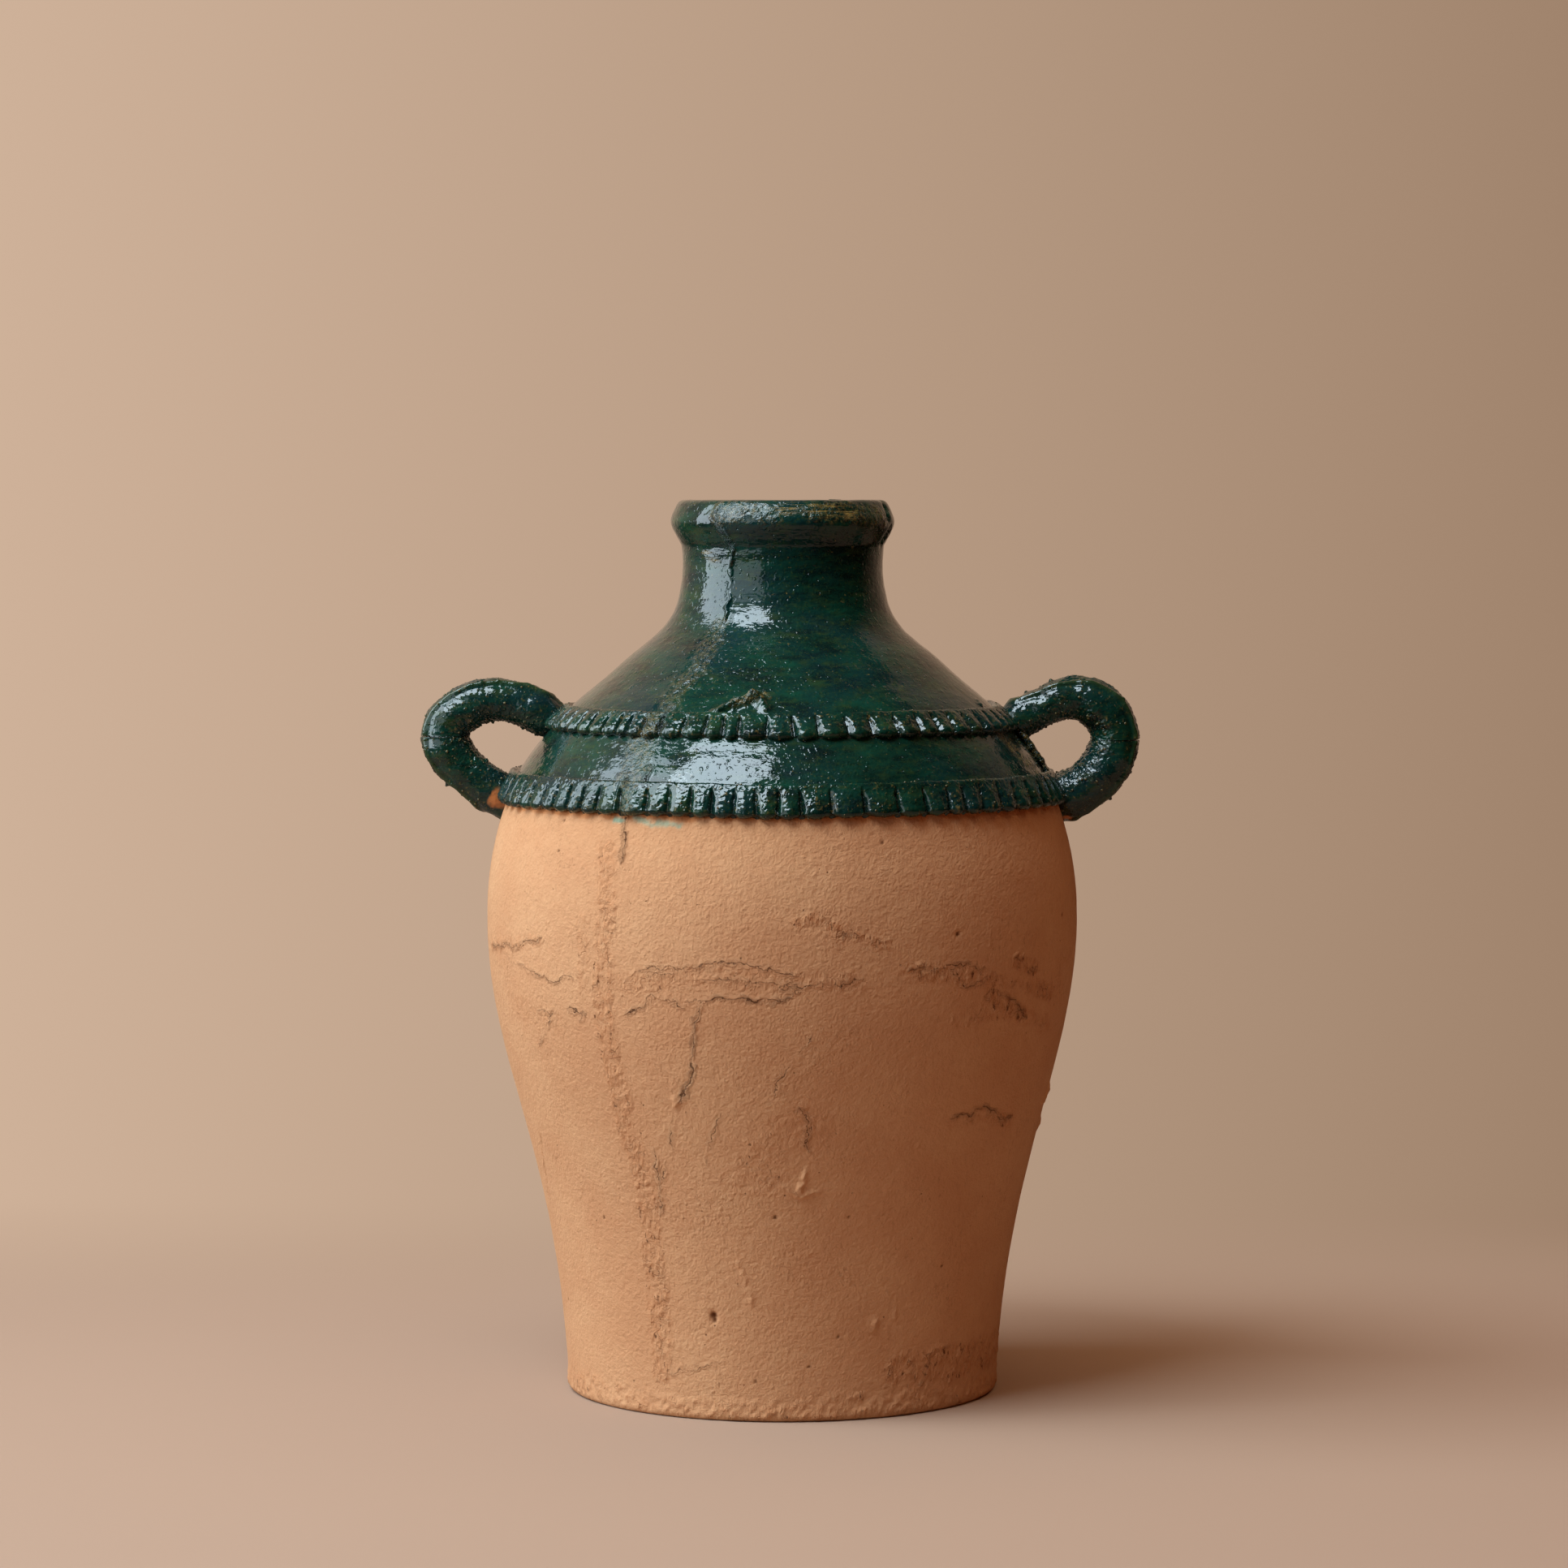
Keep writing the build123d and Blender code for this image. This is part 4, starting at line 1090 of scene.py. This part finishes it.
def terracotta(colours):
    """Fired earthenware, pressed in a mould and left bare: dusty and matt, with a fine orange-peel skin."""
    material, tree, shader = start_material("Fired terracotta")
    spot = add(tree, "ShaderNodeTexCoord", give="Object")
    scrape, rough, dark, flash, scuff = [
        add(tree, "ShaderNodeAttribute", attribute_name=name, give="Fac")
        for name in ("scrape", "rough", "dark", "flash", "scuff")
    ]
    # Dust and denser clay in clouds of 45 mm, mottled by 3 mm blotches; fire turned it orange by the glaze,
    # and the darker orange strip just under the lower band is painted shade as well.
    clouds = spread_noise(tree, spot, 45, 0.35, 0.65, 4.0, give=(0.25, 0.75))
    mottle = spread_noise(tree, spot, 3.2, 0.45, 0.75, 5.0, 0.75, (0.0, 0.5))
    # Torn clay is denser, and earth stays in its holes, more of them the worse it is torn.
    patchy = product_of(tree, scrape, spread_noise(tree, spot, 3.5, 0.4, 0.62, 5.0, 0.75))
    upright = add(tree, "ShaderNodeMapping", {"Vector": spot, "Scale": (1.0, 1.0, 0.45)})
    chance = spread_noise(tree, upright, 2.5, 0.3, 0.8, 4.0, 0.75)
    limit = add(tree, "ShaderNodeMapRange", scrape, 0.0, 1.0, 0.76, 0.52)
    above = add(tree, "ShaderNodeMath", chance, limit, operation="SUBTRACT")
    holes = add(tree, "ShaderNodeMapRange", above, 0.0, 0.05)
    torn_enough = add(tree, "ShaderNodeMapRange", scrape, 0.04, 0.2)
    holes = product_of(tree, holes, spread_noise(tree, spot, 6, 0.42, 0.56), torn_enough)
    # Fine crazing of torn and rough skin, in scales of about 5 mm
    warp = add(tree, "ShaderNodeTexNoise", {"Vector": spot, "Scale": 1 / (3 * MM), "Detail": 4.0},
               give="Color")
    bent = add(tree, "ShaderNodeVectorMath", warp, (5 * MM, 5 * MM, 5 * MM), spot, operation="MULTIPLY_ADD")
    scales = add(tree, "ShaderNodeTexVoronoi", {"Vector": bent, "Scale": 1 / (5.5 * MM)},
                 feature="DISTANCE_TO_EDGE")
    crazing = add(tree, "ShaderNodeMapRange", scales, 0.07, 0.01)
    where = largest_of(tree, scrape, product_of(tree, rough, 0.2))
    crazing = product_of(tree, crazing, where, spread_noise(tree, spot, 9, 0.47, 0.58))
    # Pimples, specks of grit and pits are drawn coarser than real ones, which the render wouldn't show.
    speckled = add(tree, "ShaderNodeMath", rough, 0.5, 0.35, operation="MULTIPLY_ADD")
    speckled = largest_of(tree, scrape, speckled)
    pimples = product_of(tree, pricks(tree, spot, 3.6, 0.9), speckled)
    grit = product_of(tree, spread_noise(tree, upright, 1.8, 0.56, 0.68, 4.0, 0.75), speckled)
    pits = product_of(tree, pricks(tree, spot, 6.0, 0.5), spread_noise(tree, spot, 13, 0.5, 0.6))
    # Cracks and pits take the dirt colour: earth in them and painted shade in their hollows.
    gap, lip = crack_shape(tree, spot)
    gap = product_of(tree, gap, spread_noise(tree, spot, 5, 0.36, 0.5, give=(0.5, 1.0)))
    earth_and_shade = product_of(tree, gap, 0.85)
    for layer, share in ((holes, 0.85), (grit, 0.38), (crazing, 0.4), (pits, 0.6), (dark, 1.0)):
        layer = product_of(tree, layer, share)
        earth_and_shade = add(tree, "ShaderNodeMath", earth_and_shade, layer, operation="MAXIMUM", use_clamp=True)
    body = coated(
        tree, colours.clay_pale, (clouds, colours.clay_deep), (mottle, colours.clay_deep),
        (flash, colours.clay_flash), (patchy, colours.clay_deep),
        (product_of(tree, patchy, 0.4), colours.clay_flash), (earth_and_shade, colours.clay_dirt),
        (scuff, colours.glaze_scuff),
    )
    tree.links.new(body, shader.inputs["Base Color"])
    shader.inputs["Roughness"].default_value = 0.85
    shader.inputs["IOR"].default_value = 1.45
    shader.inputs["Specular IOR Level"].default_value = 0.25
    # Heights in millimetres: peel of 2 and 1.2 mm, swells of 6 mm, round pimples, torn skin, pits and cracks
    torn_skin = product_of(tree, spread_noise(tree, upright, 2.0, 0.35, 0.65, 3.0, 0.65), where)
    height = stacked(
        tree, (spread_noise(tree, spot, 2.0), 0.22), (spread_noise(tree, spot, 1.2, detail=2.0), 0.1),
        (spread_noise(tree, spot, 6, detail=2.0), 0.15), (pimples, 0.2), (torn_skin, 0.55), (holes, -0.6),
        (crazing, -0.4), (pits, -0.7), (lip, 0.7), (gap, -0.9),
    )
    tree.links.new(add(tree, "ShaderNodeBump", {"Height": height, "Distance": MM}), shader.inputs["Normal"])
    return material


def green_glaze(colours):
    """Lead glaze coloured with copper, brushed over clay: deep green under glass, olive where it is thin."""
    material, tree, shader = start_material("Copper-green lead glaze")
    spot = add(tree, "ShaderNodeTexCoord", give="Object")
    scrape, bare, pool, grain, crest, unglazed = [
        add(tree, "ShaderNodeAttribute", attribute_name=name, give="Fac")
        for name in ("scrape", "bare", "pool", "grain", "crest", "unglazed")
    ]
    # Brush strokes 26 mm long and 8 mm high run round the jar, over clouds of 38 mm.
    stroke_space = add(tree, "ShaderNodeMapping", {"Vector": spot, "Scale": (1.0, 1.0, 3.2)})
    strokes = spread_noise(tree, stroke_space, 26, 0.38, 0.7, 6.0, 0.7)
    cold = spread_noise(tree, spot, 38, 0.46, 0.64, 3.0, 0.5, (0.0, 0.7))
    # The clay warms the glaze where it is thin: in clouds of 18 mm, on the crests of ridges and in a dusting
    # of grains everywhere. The grains are drawn 1.8 mm wide, coarser than real ones, so that they show.
    thin = spread_noise(tree, stroke_space, 18, 0.54, 0.7, 6.0, 0.72, (0.0, 0.6))
    thin = largest_of(tree, thin, product_of(tree, crest, 0.6))
    dusting = spread_noise(tree, spot, 1.8, 0.54, 0.68, 4.0, 0.8, (0.0, 0.65))
    tips = add(tree, "ShaderNodeMapRange", grain, 0.35, 1.3, 0.0, 0.6)
    worn = product_of(tree, spread_noise(tree, spot, 1.6, 0.48, 0.62, 4.0, 0.75), scrape, 0.85)
    specks = product_of(tree, spread_noise(tree, spot, 1.9, 0.67, 0.73, 3.0, 0.7), 0.5)
    # Where the brush missed, the clay shows in thin level streaks.
    streak_space = add(tree, "ShaderNodeMapping", {"Vector": spot, "Scale": (1.0, 1.0, 14.0)})
    streaks = product_of(tree, spread_noise(tree, streak_space, 14, 0.5, 0.62, 4.0, 0.65), bare)
    gap, lip = crack_shape(tree, spot)
    body = coated(
        tree, colours.glaze_deep, (strokes, colours.glaze_green), (cold, colours.glaze_teal),
        (thin, colours.glaze_olive), (product_of(tree, pool, 0.8), colours.glaze_deep),
        (dusting, colours.glaze_olive), (largest_of(tree, tips, worn, specks), colours.glaze_gold),
        (streaks, colours.glaze_gold),
        (gap, GLAZE_CRACK_COLOUR), (unglazed, colours.clay_flash),
    )
    tree.links.new(body, shader.inputs["Base Color"])
    shader.inputs["Roughness"].default_value = 0.5
    shader.inputs["Specular IOR Level"].default_value = 0.05
    shader.inputs["IOR"].default_value = 1.5
    shader.inputs["Coat Weight"].default_value = 1.0
    shader.inputs["Coat Roughness"].default_value = 0.05
    shader.inputs["Coat IOR"].default_value = 1.55
    # Heights in millimetres: strokes of 14 mm, glass ripples of 2.4 mm, bumps of 2.2 mm, pinholes 4.5 mm
    # apart, torn glass, bare streaks and cracks; the clay under the glass has a grain of its own.
    torn_glass = product_of(tree, spread_noise(tree, spot, 2.0, roughness=0.65), scrape)
    glass = stacked(
        tree, (spread_noise(tree, stroke_space, 14), 0.15),
        (spread_noise(tree, spot, 2.4, detail=2.0), 0.035),
        (spread_noise(tree, spot, 2.2, 0.6, 0.76, 1.0), 0.14), (pricks(tree, spot, 4.5, 0.6), -0.3),
        (torn_glass, 0.7), (streaks, -0.15), (lip, 0.4), (gap, -0.9),
    )
    under = stacked(tree, (glass, 1.0), (spread_noise(tree, spot, 2.0), 0.16))
    for height, socket in ((glass, "Coat Normal"), (under, "Normal")):
        tree.links.new(add(tree, "ShaderNodeBump", {"Height": height, "Distance": MM}), shader.inputs[socket])
    return material


def luting_clay(colours):
    """Slip and soft clay smeared on by thumb to seal a joint: coarser and darker than the wall."""
    material, tree, shader = start_material("Smeared luting clay")
    spot = add(tree, "ShaderNodeTexCoord", give="Object")
    clots = spread_noise(tree, spot, 3, 0.35, 0.65, 5.0, 0.75)
    tree.links.new(coated(tree, colours.clay_dirt, (clots, colours.clay_flash)), shader.inputs["Base Color"])
    shader.inputs["Roughness"].default_value = 0.75
    tree.links.new(add(tree, "ShaderNodeBump", {"Height": clots, "Distance": MM}), shader.inputs["Normal"])
    return material


def paper_sweep(colours):
    """Matt background paper that turns up behind the jar; where it glows, its tone is painted light, paler on
    the lamp's side, and the glaze sees a painted reflection of it that is dim in front.
    """
    material, tree, shader = start_material("Background paper")
    spot = add(tree, "ShaderNodeTexCoord", give="Object")
    across, along = add(tree, "ShaderNodeSeparateXYZ", spot, give=None).outputs[:2]
    # The painted light tone follows the direction from the middle of the set's front, where the camera
    # stands: paler on the lamp's side, darker on the far side.
    ahead = add(tree, "ShaderNodeMath", along, CAMERA_DISTANCE * MM, operation="ADD")
    side = add(tree, "ShaderNodeMath", across, largest_of(tree, ahead, 0.5), operation="DIVIDE")
    share = add(tree, "ShaderNodeMapRange", side, -0.157, 0.157)
    painted_light_tone = coated(tree, colours.sweep_light, (share, colours.sweep_shade))
    floor_spot = add(tree, "ShaderNodeCombineXYZ", across, along)
    run = add(tree, "ShaderNodeVectorMath", floor_spot, operation="LENGTH", give="Value")
    round_it = add(tree, "ShaderNodeMapRange", run, 0.55, 1.05, interpolation_type="SMOOTHSTEP")
    base = coated(tree, colours.floor_paper, (round_it, colours.room_glow))
    tree.links.new(base, shader.inputs["Base Color"])
    shader.inputs["Roughness"].default_value = 0.9
    shader.inputs["Specular IOR Level"].default_value = 0.1
    # Past the jar's shadow the paper glows with its painted light tone for the eye and the glaze, in place of
    # being lit; for the glaze the near floor is half a dark painted reflection, and the paper in front is
    # dark.
    rays = add(tree, "ShaderNodeLightPath", give=None).outputs
    behind = add(tree, "ShaderNodeMapRange", along, 0.14, 0.62, interpolation_type="SMOOTHSTEP")
    straight = largest_of(tree, rays["Is Camera Ray"], rays["Is Transmission Ray"])
    straight = product_of(tree, straight, largest_of(tree, behind, round_it), clamp=False)
    glossy = product_of(tree, rays["Is Glossy Ray"], largest_of(tree, round_it, 0.5), clamp=False)
    seen = largest_of(tree, straight, glossy)
    # Painted reflection: the glow that the glaze sees is dim in front and brighter far behind and far out on
    # the lamp's side; the eye sees it at full strength.
    painted_reflection_level = add(tree, "ShaderNodeMapRange", along, 0.8, 3.4, 0.02, 1.0)
    beside = add(tree, "ShaderNodeMapRange", across, -1.0, -3.6, 0.0, 0.6)
    bright = add(tree, "ShaderNodeMath", rays["Is Glossy Ray"], -1.0, 1.0, operation="MULTIPLY_ADD")
    bright = largest_of(tree, bright, largest_of(tree, painted_reflection_level, beside))
    glow = add(tree, "ShaderNodeEmission", {"Color": painted_light_tone, "Strength": bright})
    whole = add(tree, "ShaderNodeMixShader", seen, shader.outputs[0], glow)
    tree.links.new(whole, tree.get_output_node("ALL").inputs["Surface"])
    return material


def finish(name, maker):
    """A finish by its name, made when it is first asked for."""
    return bpy.data.materials.get(name) or maker(bpy.context.scene.jar_colours)


def notch_places(pixel_columns, height, lift, azimuths):
    """The notch count at each azimuth: whole numbers on the notches, spaced as the photograph has them."""
    focal = LENS / SENSOR_WIDTH * IMAGE_SIDE
    radius = np.interp(height, SKIN_LINE[:, 1], SKIN_LINE[:, 0]) + lift
    level = IMAGE_SIDE / 2 + focal * math.tan(
        math.atan2(CAMERA_HEIGHT - height, CAMERA_DISTANCE - radius) - CAMERA_PITCH)
    spots = on_jar([(column, level) for column in pixel_columns], lift)
    seen = np.unwrap(np.arctan2(spots[:, 1], spots[:, 0]) % (2 * math.pi))
    pitch = (seen[-1] - seen[0]) / (len(seen) - 1)
    rest = 2 * math.pi - (seen[-1] - seen[0])
    behind = int(round(rest / pitch))
    marks = np.concatenate((seen, seen[-1] + rest * np.arange(1, behind + 1) / behind))
    marks = np.concatenate((marks[:-1] - 2 * math.pi, marks, marks[1:] + 2 * math.pi))
    numbers = np.arange(len(marks), dtype=float)
    place = np.interp(azimuths, marks, numbers)
    spacing = np.interp(azimuths, (marks[:-1] + marks[1:]) / 2, np.diff(marks)) * radius
    return place, spacing


def band_piece(name, half, pixel_columns, sizes, tree, material):
    """Half a notched band: the strip's own outline turned round the jar, pressed and roughened."""
    hand = ("left", "right")[half]
    spots = corners_of(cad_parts[f"{name}_{hand}"].data) / MM
    turn_at = np.arctan2(spots[:, 1], spots[:, 0])
    start = SEAM + half * HALF_TURN
    cap = np.abs((turn_at - start + math.pi) % (2 * math.pi) - math.pi) < 1e-4
    outline = np.unique(np.round(np.c_[np.hypot(spots[cap, 0], spots[cap, 1]), spots[cap, 2]], 2), axis=0)
    middle = outline.mean(axis=0)
    order = np.argsort(np.arctan2(outline[:, 1] - middle[1], outline[:, 0] - middle[0]))
    outline = outline[order]
    outline = evenly(np.concatenate((outline, outline[:1])), BAND_CELL)[:-1]
    lift = outline[:, 0] - through(OUTER_LINE, outline[:, 1])
    lift_share = smooth_step(0.15, 1.4, lift)
    # The back is sunk into the wall, so that the uneven wall leaves no gap behind it.
    inward = np.where(lift < 0.15, 2.0, 0.0)
    outline = outline - inward[:, None] * np.array([0.8, 0.6])
    axis = outline[np.argmax(outline[:, 1])] - outline[np.argmin(outline[:, 1])]
    axis /= np.linalg.norm(axis)
    across = (outline - outline.mean(axis=0)) @ axis
    across /= np.abs(across).max()
    azimuths = columns(half, BAND_CELL * BELLY_RADIUS / outline[:, 0].max())
    place, pitch = notch_places(pixel_columns, outline[:, 1].mean(), lift.max(), azimuths)
    ring = turned(outline, azimuths)
    flat = ring.reshape(-1, 3)
    waver = wander(flat, sizes)
    cracks = {key: GLAZE_CRACKS[key] for key in ("upper_band", "lower_band")}
    rise, crack, beside, scrape = marks_relief(
        flat, sizes, sizes.seed + 200, cracks, BAND_SCRAPES, {}, lift.max(),
    )
    out = np.tile(spokes(azimuths), (len(outline), 1))
    flat = flat + (waver + rise * np.repeat(lift_share, len(azimuths)))[:, None] * out
    sag = 0.5 * clay_noise(flat, 30.0, sizes.seed + 60) + 0.35 * clay_noise(flat, 8.0, sizes.seed + 61)
    flat[:, 2] += sag
    row_count, column_count = ring.shape[:2]
    faces = grid_faces(row_count, column_count, True).tolist() + grid_ends(row_count, column_count)
    # Notches stop beside the handles, which are laid over the band.
    gap = np.minimum(np.abs(np.sin(azimuths)) * outline[:, 0].max(), 60)
    clear = smooth_step(9.0, 13.0, gap)
    values = {
        "place": np.tile(place, row_count), "pitch": np.tile(pitch * MM, row_count),
        "across": np.repeat(across, column_count), "lift": np.repeat(lift_share, column_count),
        "clear": np.tile(clear, row_count), "crack": crack, "beside": beside, "scrape": scrape,
    }
    blank = make_piece(f"{name}_{hand}_blank", flat, faces, None, values, [material])
    mesh = run_tree(blank, tree, {
        "Depth": sizes.notch_depth, "Width": sizes.notch_width, "Lobe": sizes.lobe_height,
        "Grain": sizes.glaze_grain * 0.45, "Grit": sizes.grit_size * 0.8, "Seed": sizes.seed,
        "Material": material,
    })
    bpy.data.objects.remove(blank)
    return finish_piece(in_scene(f"{name}_{hand}_pressed", mesh), "green_glaze", f"{name}_{hand}")


def coil_piece(side, coil, sizes, tree, material):
    """A handle: a coil rolled along the measured middle line, luted on at both ends."""
    curve = bpy.data.curves.new(f"{side}_handle_course", "CURVE")
    curve.dimensions = "3D"
    spline = curve.splines.new("BEZIER")
    spline.bezier_points.add(len(coil) - 1)
    for point, ((x, height), thickness) in zip(spline.bezier_points, coil):
        point.co = (x * MM, 0, height * MM)
        point.radius = thickness / 2
        point.handle_left_type = point.handle_right_type = "AUTO"
    course = in_scene(f"{side}_handle_course", curve)
    eye = np.mean([spot for spot, _ in coil[1:-1]], axis=0)
    mesh = run_tree(course, tree, {
        "Ridge": sizes.flash_ridge, "Grain": sizes.glaze_grain, "Grit": sizes.grit_size,
        "Eye": (eye[0] * MM, 0.0, eye[1] * MM), "Seed": HANDLE_SEEDS[side], "Material": material,
    })
    bpy.data.objects.remove(course)
    spots = corners_of(mesh)
    spots[:, 0] = np.clip(spots[:, 0], CAD_LOW.x, CAD_HIGH.x)
    mesh.vertices.foreach_set("co", spots.ravel())
    patch, size = UNGLAZED[side]
    off = np.linalg.norm(torn(spots / MM, sizes.seed + 80) - np.array(patch), axis=1)
    note(mesh, "unglazed", smooth_step(size + 0.8, size - 0.8, off))
    mesh.update()
    return finish_piece(in_scene(f"{side}_handle_coil", mesh), "green_glaze", f"{side}_handle")


def luting_piece(sizes, material):
    """The smear of clay inside the right handle: the pad's own solid, cut fine and torn by the thumb."""
    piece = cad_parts["right_handle_luting"].copy()
    piece.data = piece.data.copy()
    piece.name = "right_handle_luting_smear"
    bpy.context.scene.collection.objects.link(piece)
    shell = bmesh.new()
    shell.from_mesh(piece.data)
    bmesh.ops.remove_doubles(shell, verts=shell.verts, dist=0.01 * MM)
    shell.to_mesh(piece.data)
    shell.free()
    modifier = piece.modifiers.new("fine_cells", "REMESH")
    modifier.mode = "VOXEL"
    modifier.voxel_size = 0.5 * MM
    graph = bpy.context.evaluated_depsgraph_get()
    mesh = bpy.data.meshes.new_from_object(piece.evaluated_get(graph), depsgraph=graph)
    bpy.data.objects.remove(piece)
    spots = corners_of(mesh) / MM
    facing = np.array([v.normal for v in mesh.vertices])
    runs = clay_noise(spots * np.array([1, 1, 0.4]), 5.0, sizes.seed + 71)
    tears = clay_noise(spots, 2.6, sizes.seed + 70) + 0.7 * runs
    spots += (0.75 * tears + 0.1)[:, None] * facing
    mesh.vertices.foreach_set("co", (spots * MM).ravel())
    for name, value in (("scrape", 0.7), ("pool", 0.9)):
        note(mesh, name, np.full(len(spots), value))
    mesh.materials.clear()
    mesh.materials.append(material)
    mesh.shade_smooth()
    mesh.update()
    return finish_piece(in_scene("right_handle_luting_smear", mesh), "green_glaze", "right_handle_luting")


class JAR_OT_walls(bpy.types.Operator):
    """Press the bare and the glazed walls, half by half, and roll the rim"""

    bl_idname = "jar.walls"
    bl_label = "Walls and rim"

    def execute(self, context):
        sizes = context.scene.jar_sizes
        clay = finish("Fired terracotta", terracotta)
        glaze = finish("Copper-green lead glaze", green_glaze)
        for half in (0, 1):
            for name in ("lower_wall", "upper_wall"):
                wall_piece(name, half, sizes, [clay, clay])
            for name in ("shoulder_wall", "neck_wall"):
                wall_piece(name, half, sizes, [glaze, clay])
            wall_piece("rim", half, sizes, [glaze])
        return {"FINISHED"}


class JAR_OT_base(bpy.types.Operator):
    """Make the base slab with its worn foot edge"""

    bl_idname = "jar.base"
    bl_label = "Base slab"

    def execute(self, context):
        base_piece(context.scene.jar_sizes, finish("Fired terracotta", terracotta))
        return {"FINISHED"}


class JAR_OT_bands(bpy.types.Operator):
    """Lay the two bands round the jar and press their notches"""

    bl_idname = "jar.bands"
    bl_label = "Notched bands"

    def execute(self, context):
        sizes = context.scene.jar_sizes
        glaze = finish("Copper-green lead glaze", green_glaze)
        tree = notch_tree()
        for half in (0, 1):
            band_piece("lower_band", half, LOWER_NOTCH_COLUMNS, sizes, tree, glaze)
            band_piece("upper_band", half, UPPER_NOTCH_COLUMNS, sizes, tree, glaze)
        return {"FINISHED"}


class JAR_OT_handles(bpy.types.Operator):
    """Roll the two handle coils and lute them over the bands"""

    bl_idname = "jar.handles"
    bl_label = "Handles"

    def execute(self, context):
        sizes = context.scene.jar_sizes
        glaze = finish("Copper-green lead glaze", green_glaze)
        tree = coil_tree()
        coil_piece("left", LEFT_COIL, sizes, tree, glaze)
        coil_piece("right", RIGHT_COIL, sizes, tree, glaze)
        return {"FINISHED"}


class JAR_OT_joins(bpy.types.Operator):
    """Finish the clay that seals the joints: the luting pad and the coils inside"""

    bl_idname = "jar.joins"
    bl_label = "Joint clay"

    def execute(self, context):
        luting_piece(context.scene.jar_sizes, finish("Copper-green lead glaze", green_glaze))
        clay = finish("Smeared luting clay", luting_clay)
        for name in ("seam_coil_front", "seam_coil_back", "base_coil"):
            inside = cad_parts[name].data
            inside.materials.clear()
            inside.materials.append(clay)
        return {"FINISHED"}


class JAR_OT_stage(bpy.types.Operator):
    """Set the paper sweep, the lamps and the camera"""

    bl_idname = "jar.stage"
    bl_label = "Stage"

    def execute(self, context):
        scene = context.scene
        outline = [(SWEEP_FLOOR, 0.0)]
        for step in range(1, SWEEP_STEPS + 1):
            angle = step / SWEEP_STEPS * math.pi / 2
            out, up = SWEEP_BEND * math.sin(angle), SWEEP_BEND - SWEEP_BEND * math.cos(angle)
            outline.append((SWEEP_FLOOR + out, up))
        outline.append((SWEEP_FLOOR + SWEEP_BEND, SWEEP_TOP))
        rows = turned(np.array(outline), np.linspace(0, 2 * math.pi, SWEEP_COLUMNS + 1)[:-1])
        corners = np.arange(len(rows) * SWEEP_COLUMNS).reshape(len(rows), SWEEP_COLUMNS)
        beside = np.roll(corners, -1, axis=1)
        faces = np.stack((corners[1:], beside[1:], beside[:-1], corners[:-1]), axis=-1).reshape(-1, 4)
        floor = list(range(SWEEP_COLUMNS))
        mesh = bpy.data.meshes.new("paper_sweep")
        mesh.from_pydata(rows.reshape(-1, 3).tolist(), [], [*faces.tolist(), floor])
        mesh.shade_smooth()
        mesh.materials.append(finish("Background paper", paper_sweep))
        in_scene("paper_sweep", mesh)
        for name, (bearing, elevation, distance, width, tall, power) in LAMPS.items():
            lamp = bpy.data.lights.new(name, "AREA")
            lamp.shape = "RECTANGLE"
            lamp.size, lamp.size_y = width, tall
            lamp.energy = power
            lamp.color = LAMP_COLOUR
            light = in_scene(name, lamp)
            side, rise = math.radians(bearing), math.radians(elevation)
            away = Vector((math.sin(side) * math.cos(rise), -math.cos(side) * math.cos(rise), math.sin(rise)))
            light.location = Vector(LAMP_TARGET) + away * distance
            light.rotation_mode = "QUATERNION"
            light.rotation_quaternion = away.to_track_quat("Z", "Y")
        world = bpy.data.worlds.new("Room")
        scene.world = world
        world.use_nodes = True
        # The ceiling's bounced light is warm and broad; the glaze sees the ceiling itself as nearly dark.
        sky = world.node_tree.nodes["Background"]
        sky.inputs["Color"].default_value = (*linear(ROOM_COLOUR), 1)
        glossy = add(world.node_tree, "ShaderNodeLightPath", give="Is Glossy Ray")
        lit = add(world.node_tree, "ShaderNodeMapRange", glossy, 0.0, 1.0, ROOM_STRENGTH, ROOM_IN_GLAZE)
        world.node_tree.links.new(lit, sky.inputs["Strength"])

        camera = bpy.data.cameras.new("camera")
        camera.lens = LENS
        camera.sensor_width = SENSOR_WIDTH
        camera.clip_end = 50
        eye = in_scene("camera", camera)
        eye.location = (CAMERA_SIDESTEP * MM, -CAMERA_DISTANCE * MM, CAMERA_HEIGHT * MM)
        eye.rotation_euler = (math.pi / 2 - CAMERA_PITCH, 0, 0)
        scene.camera = eye
        scene.view_settings.view_transform = "Standard"
        return {"FINISHED"}


class JAR_PT_panel(bpy.types.Panel):
    """Sizes, colours and steps of the jar"""

    bl_label = "Olive Jar"
    bl_idname = "JAR_PT_panel"
    bl_space_type = "VIEW_3D"
    bl_region_type = "UI"
    bl_category = "Olive Jar"

    def draw(self, context):
        for group in (context.scene.jar_sizes, context.scene.jar_colours):
            box = self.layout.box()
            for name in group.__annotations__:
                box.prop(group, name)
        for step in STEPS:
            self.layout.operator(step.bl_idname)


STEPS = [JAR_OT_walls, JAR_OT_base, JAR_OT_bands, JAR_OT_handles, JAR_OT_joins, JAR_OT_stage]
CLASSES = [JarSizes, JarColours, *STEPS, JAR_PT_panel]


def register():
    for made in CLASSES:
        bpy.utils.register_class(made)
    bpy.types.Scene.jar_sizes = bpy.props.PointerProperty(type=JarSizes)
    bpy.types.Scene.jar_colours = bpy.props.PointerProperty(type=JarColours)


def unregister():
    del bpy.types.Scene.jar_colours
    del bpy.types.Scene.jar_sizes
    for made in reversed(CLASSES):
        bpy.utils.unregister_class(made)


def main():
    """Builds the dressed jar on its stage."""
    register()
    bpy.ops.jar.walls()
    bpy.ops.jar.base()
    bpy.ops.jar.bands()
    bpy.ops.jar.handles()
    bpy.ops.jar.joins()
    bpy.ops.jar.stage()


if __name__ == "__main__":
    main()
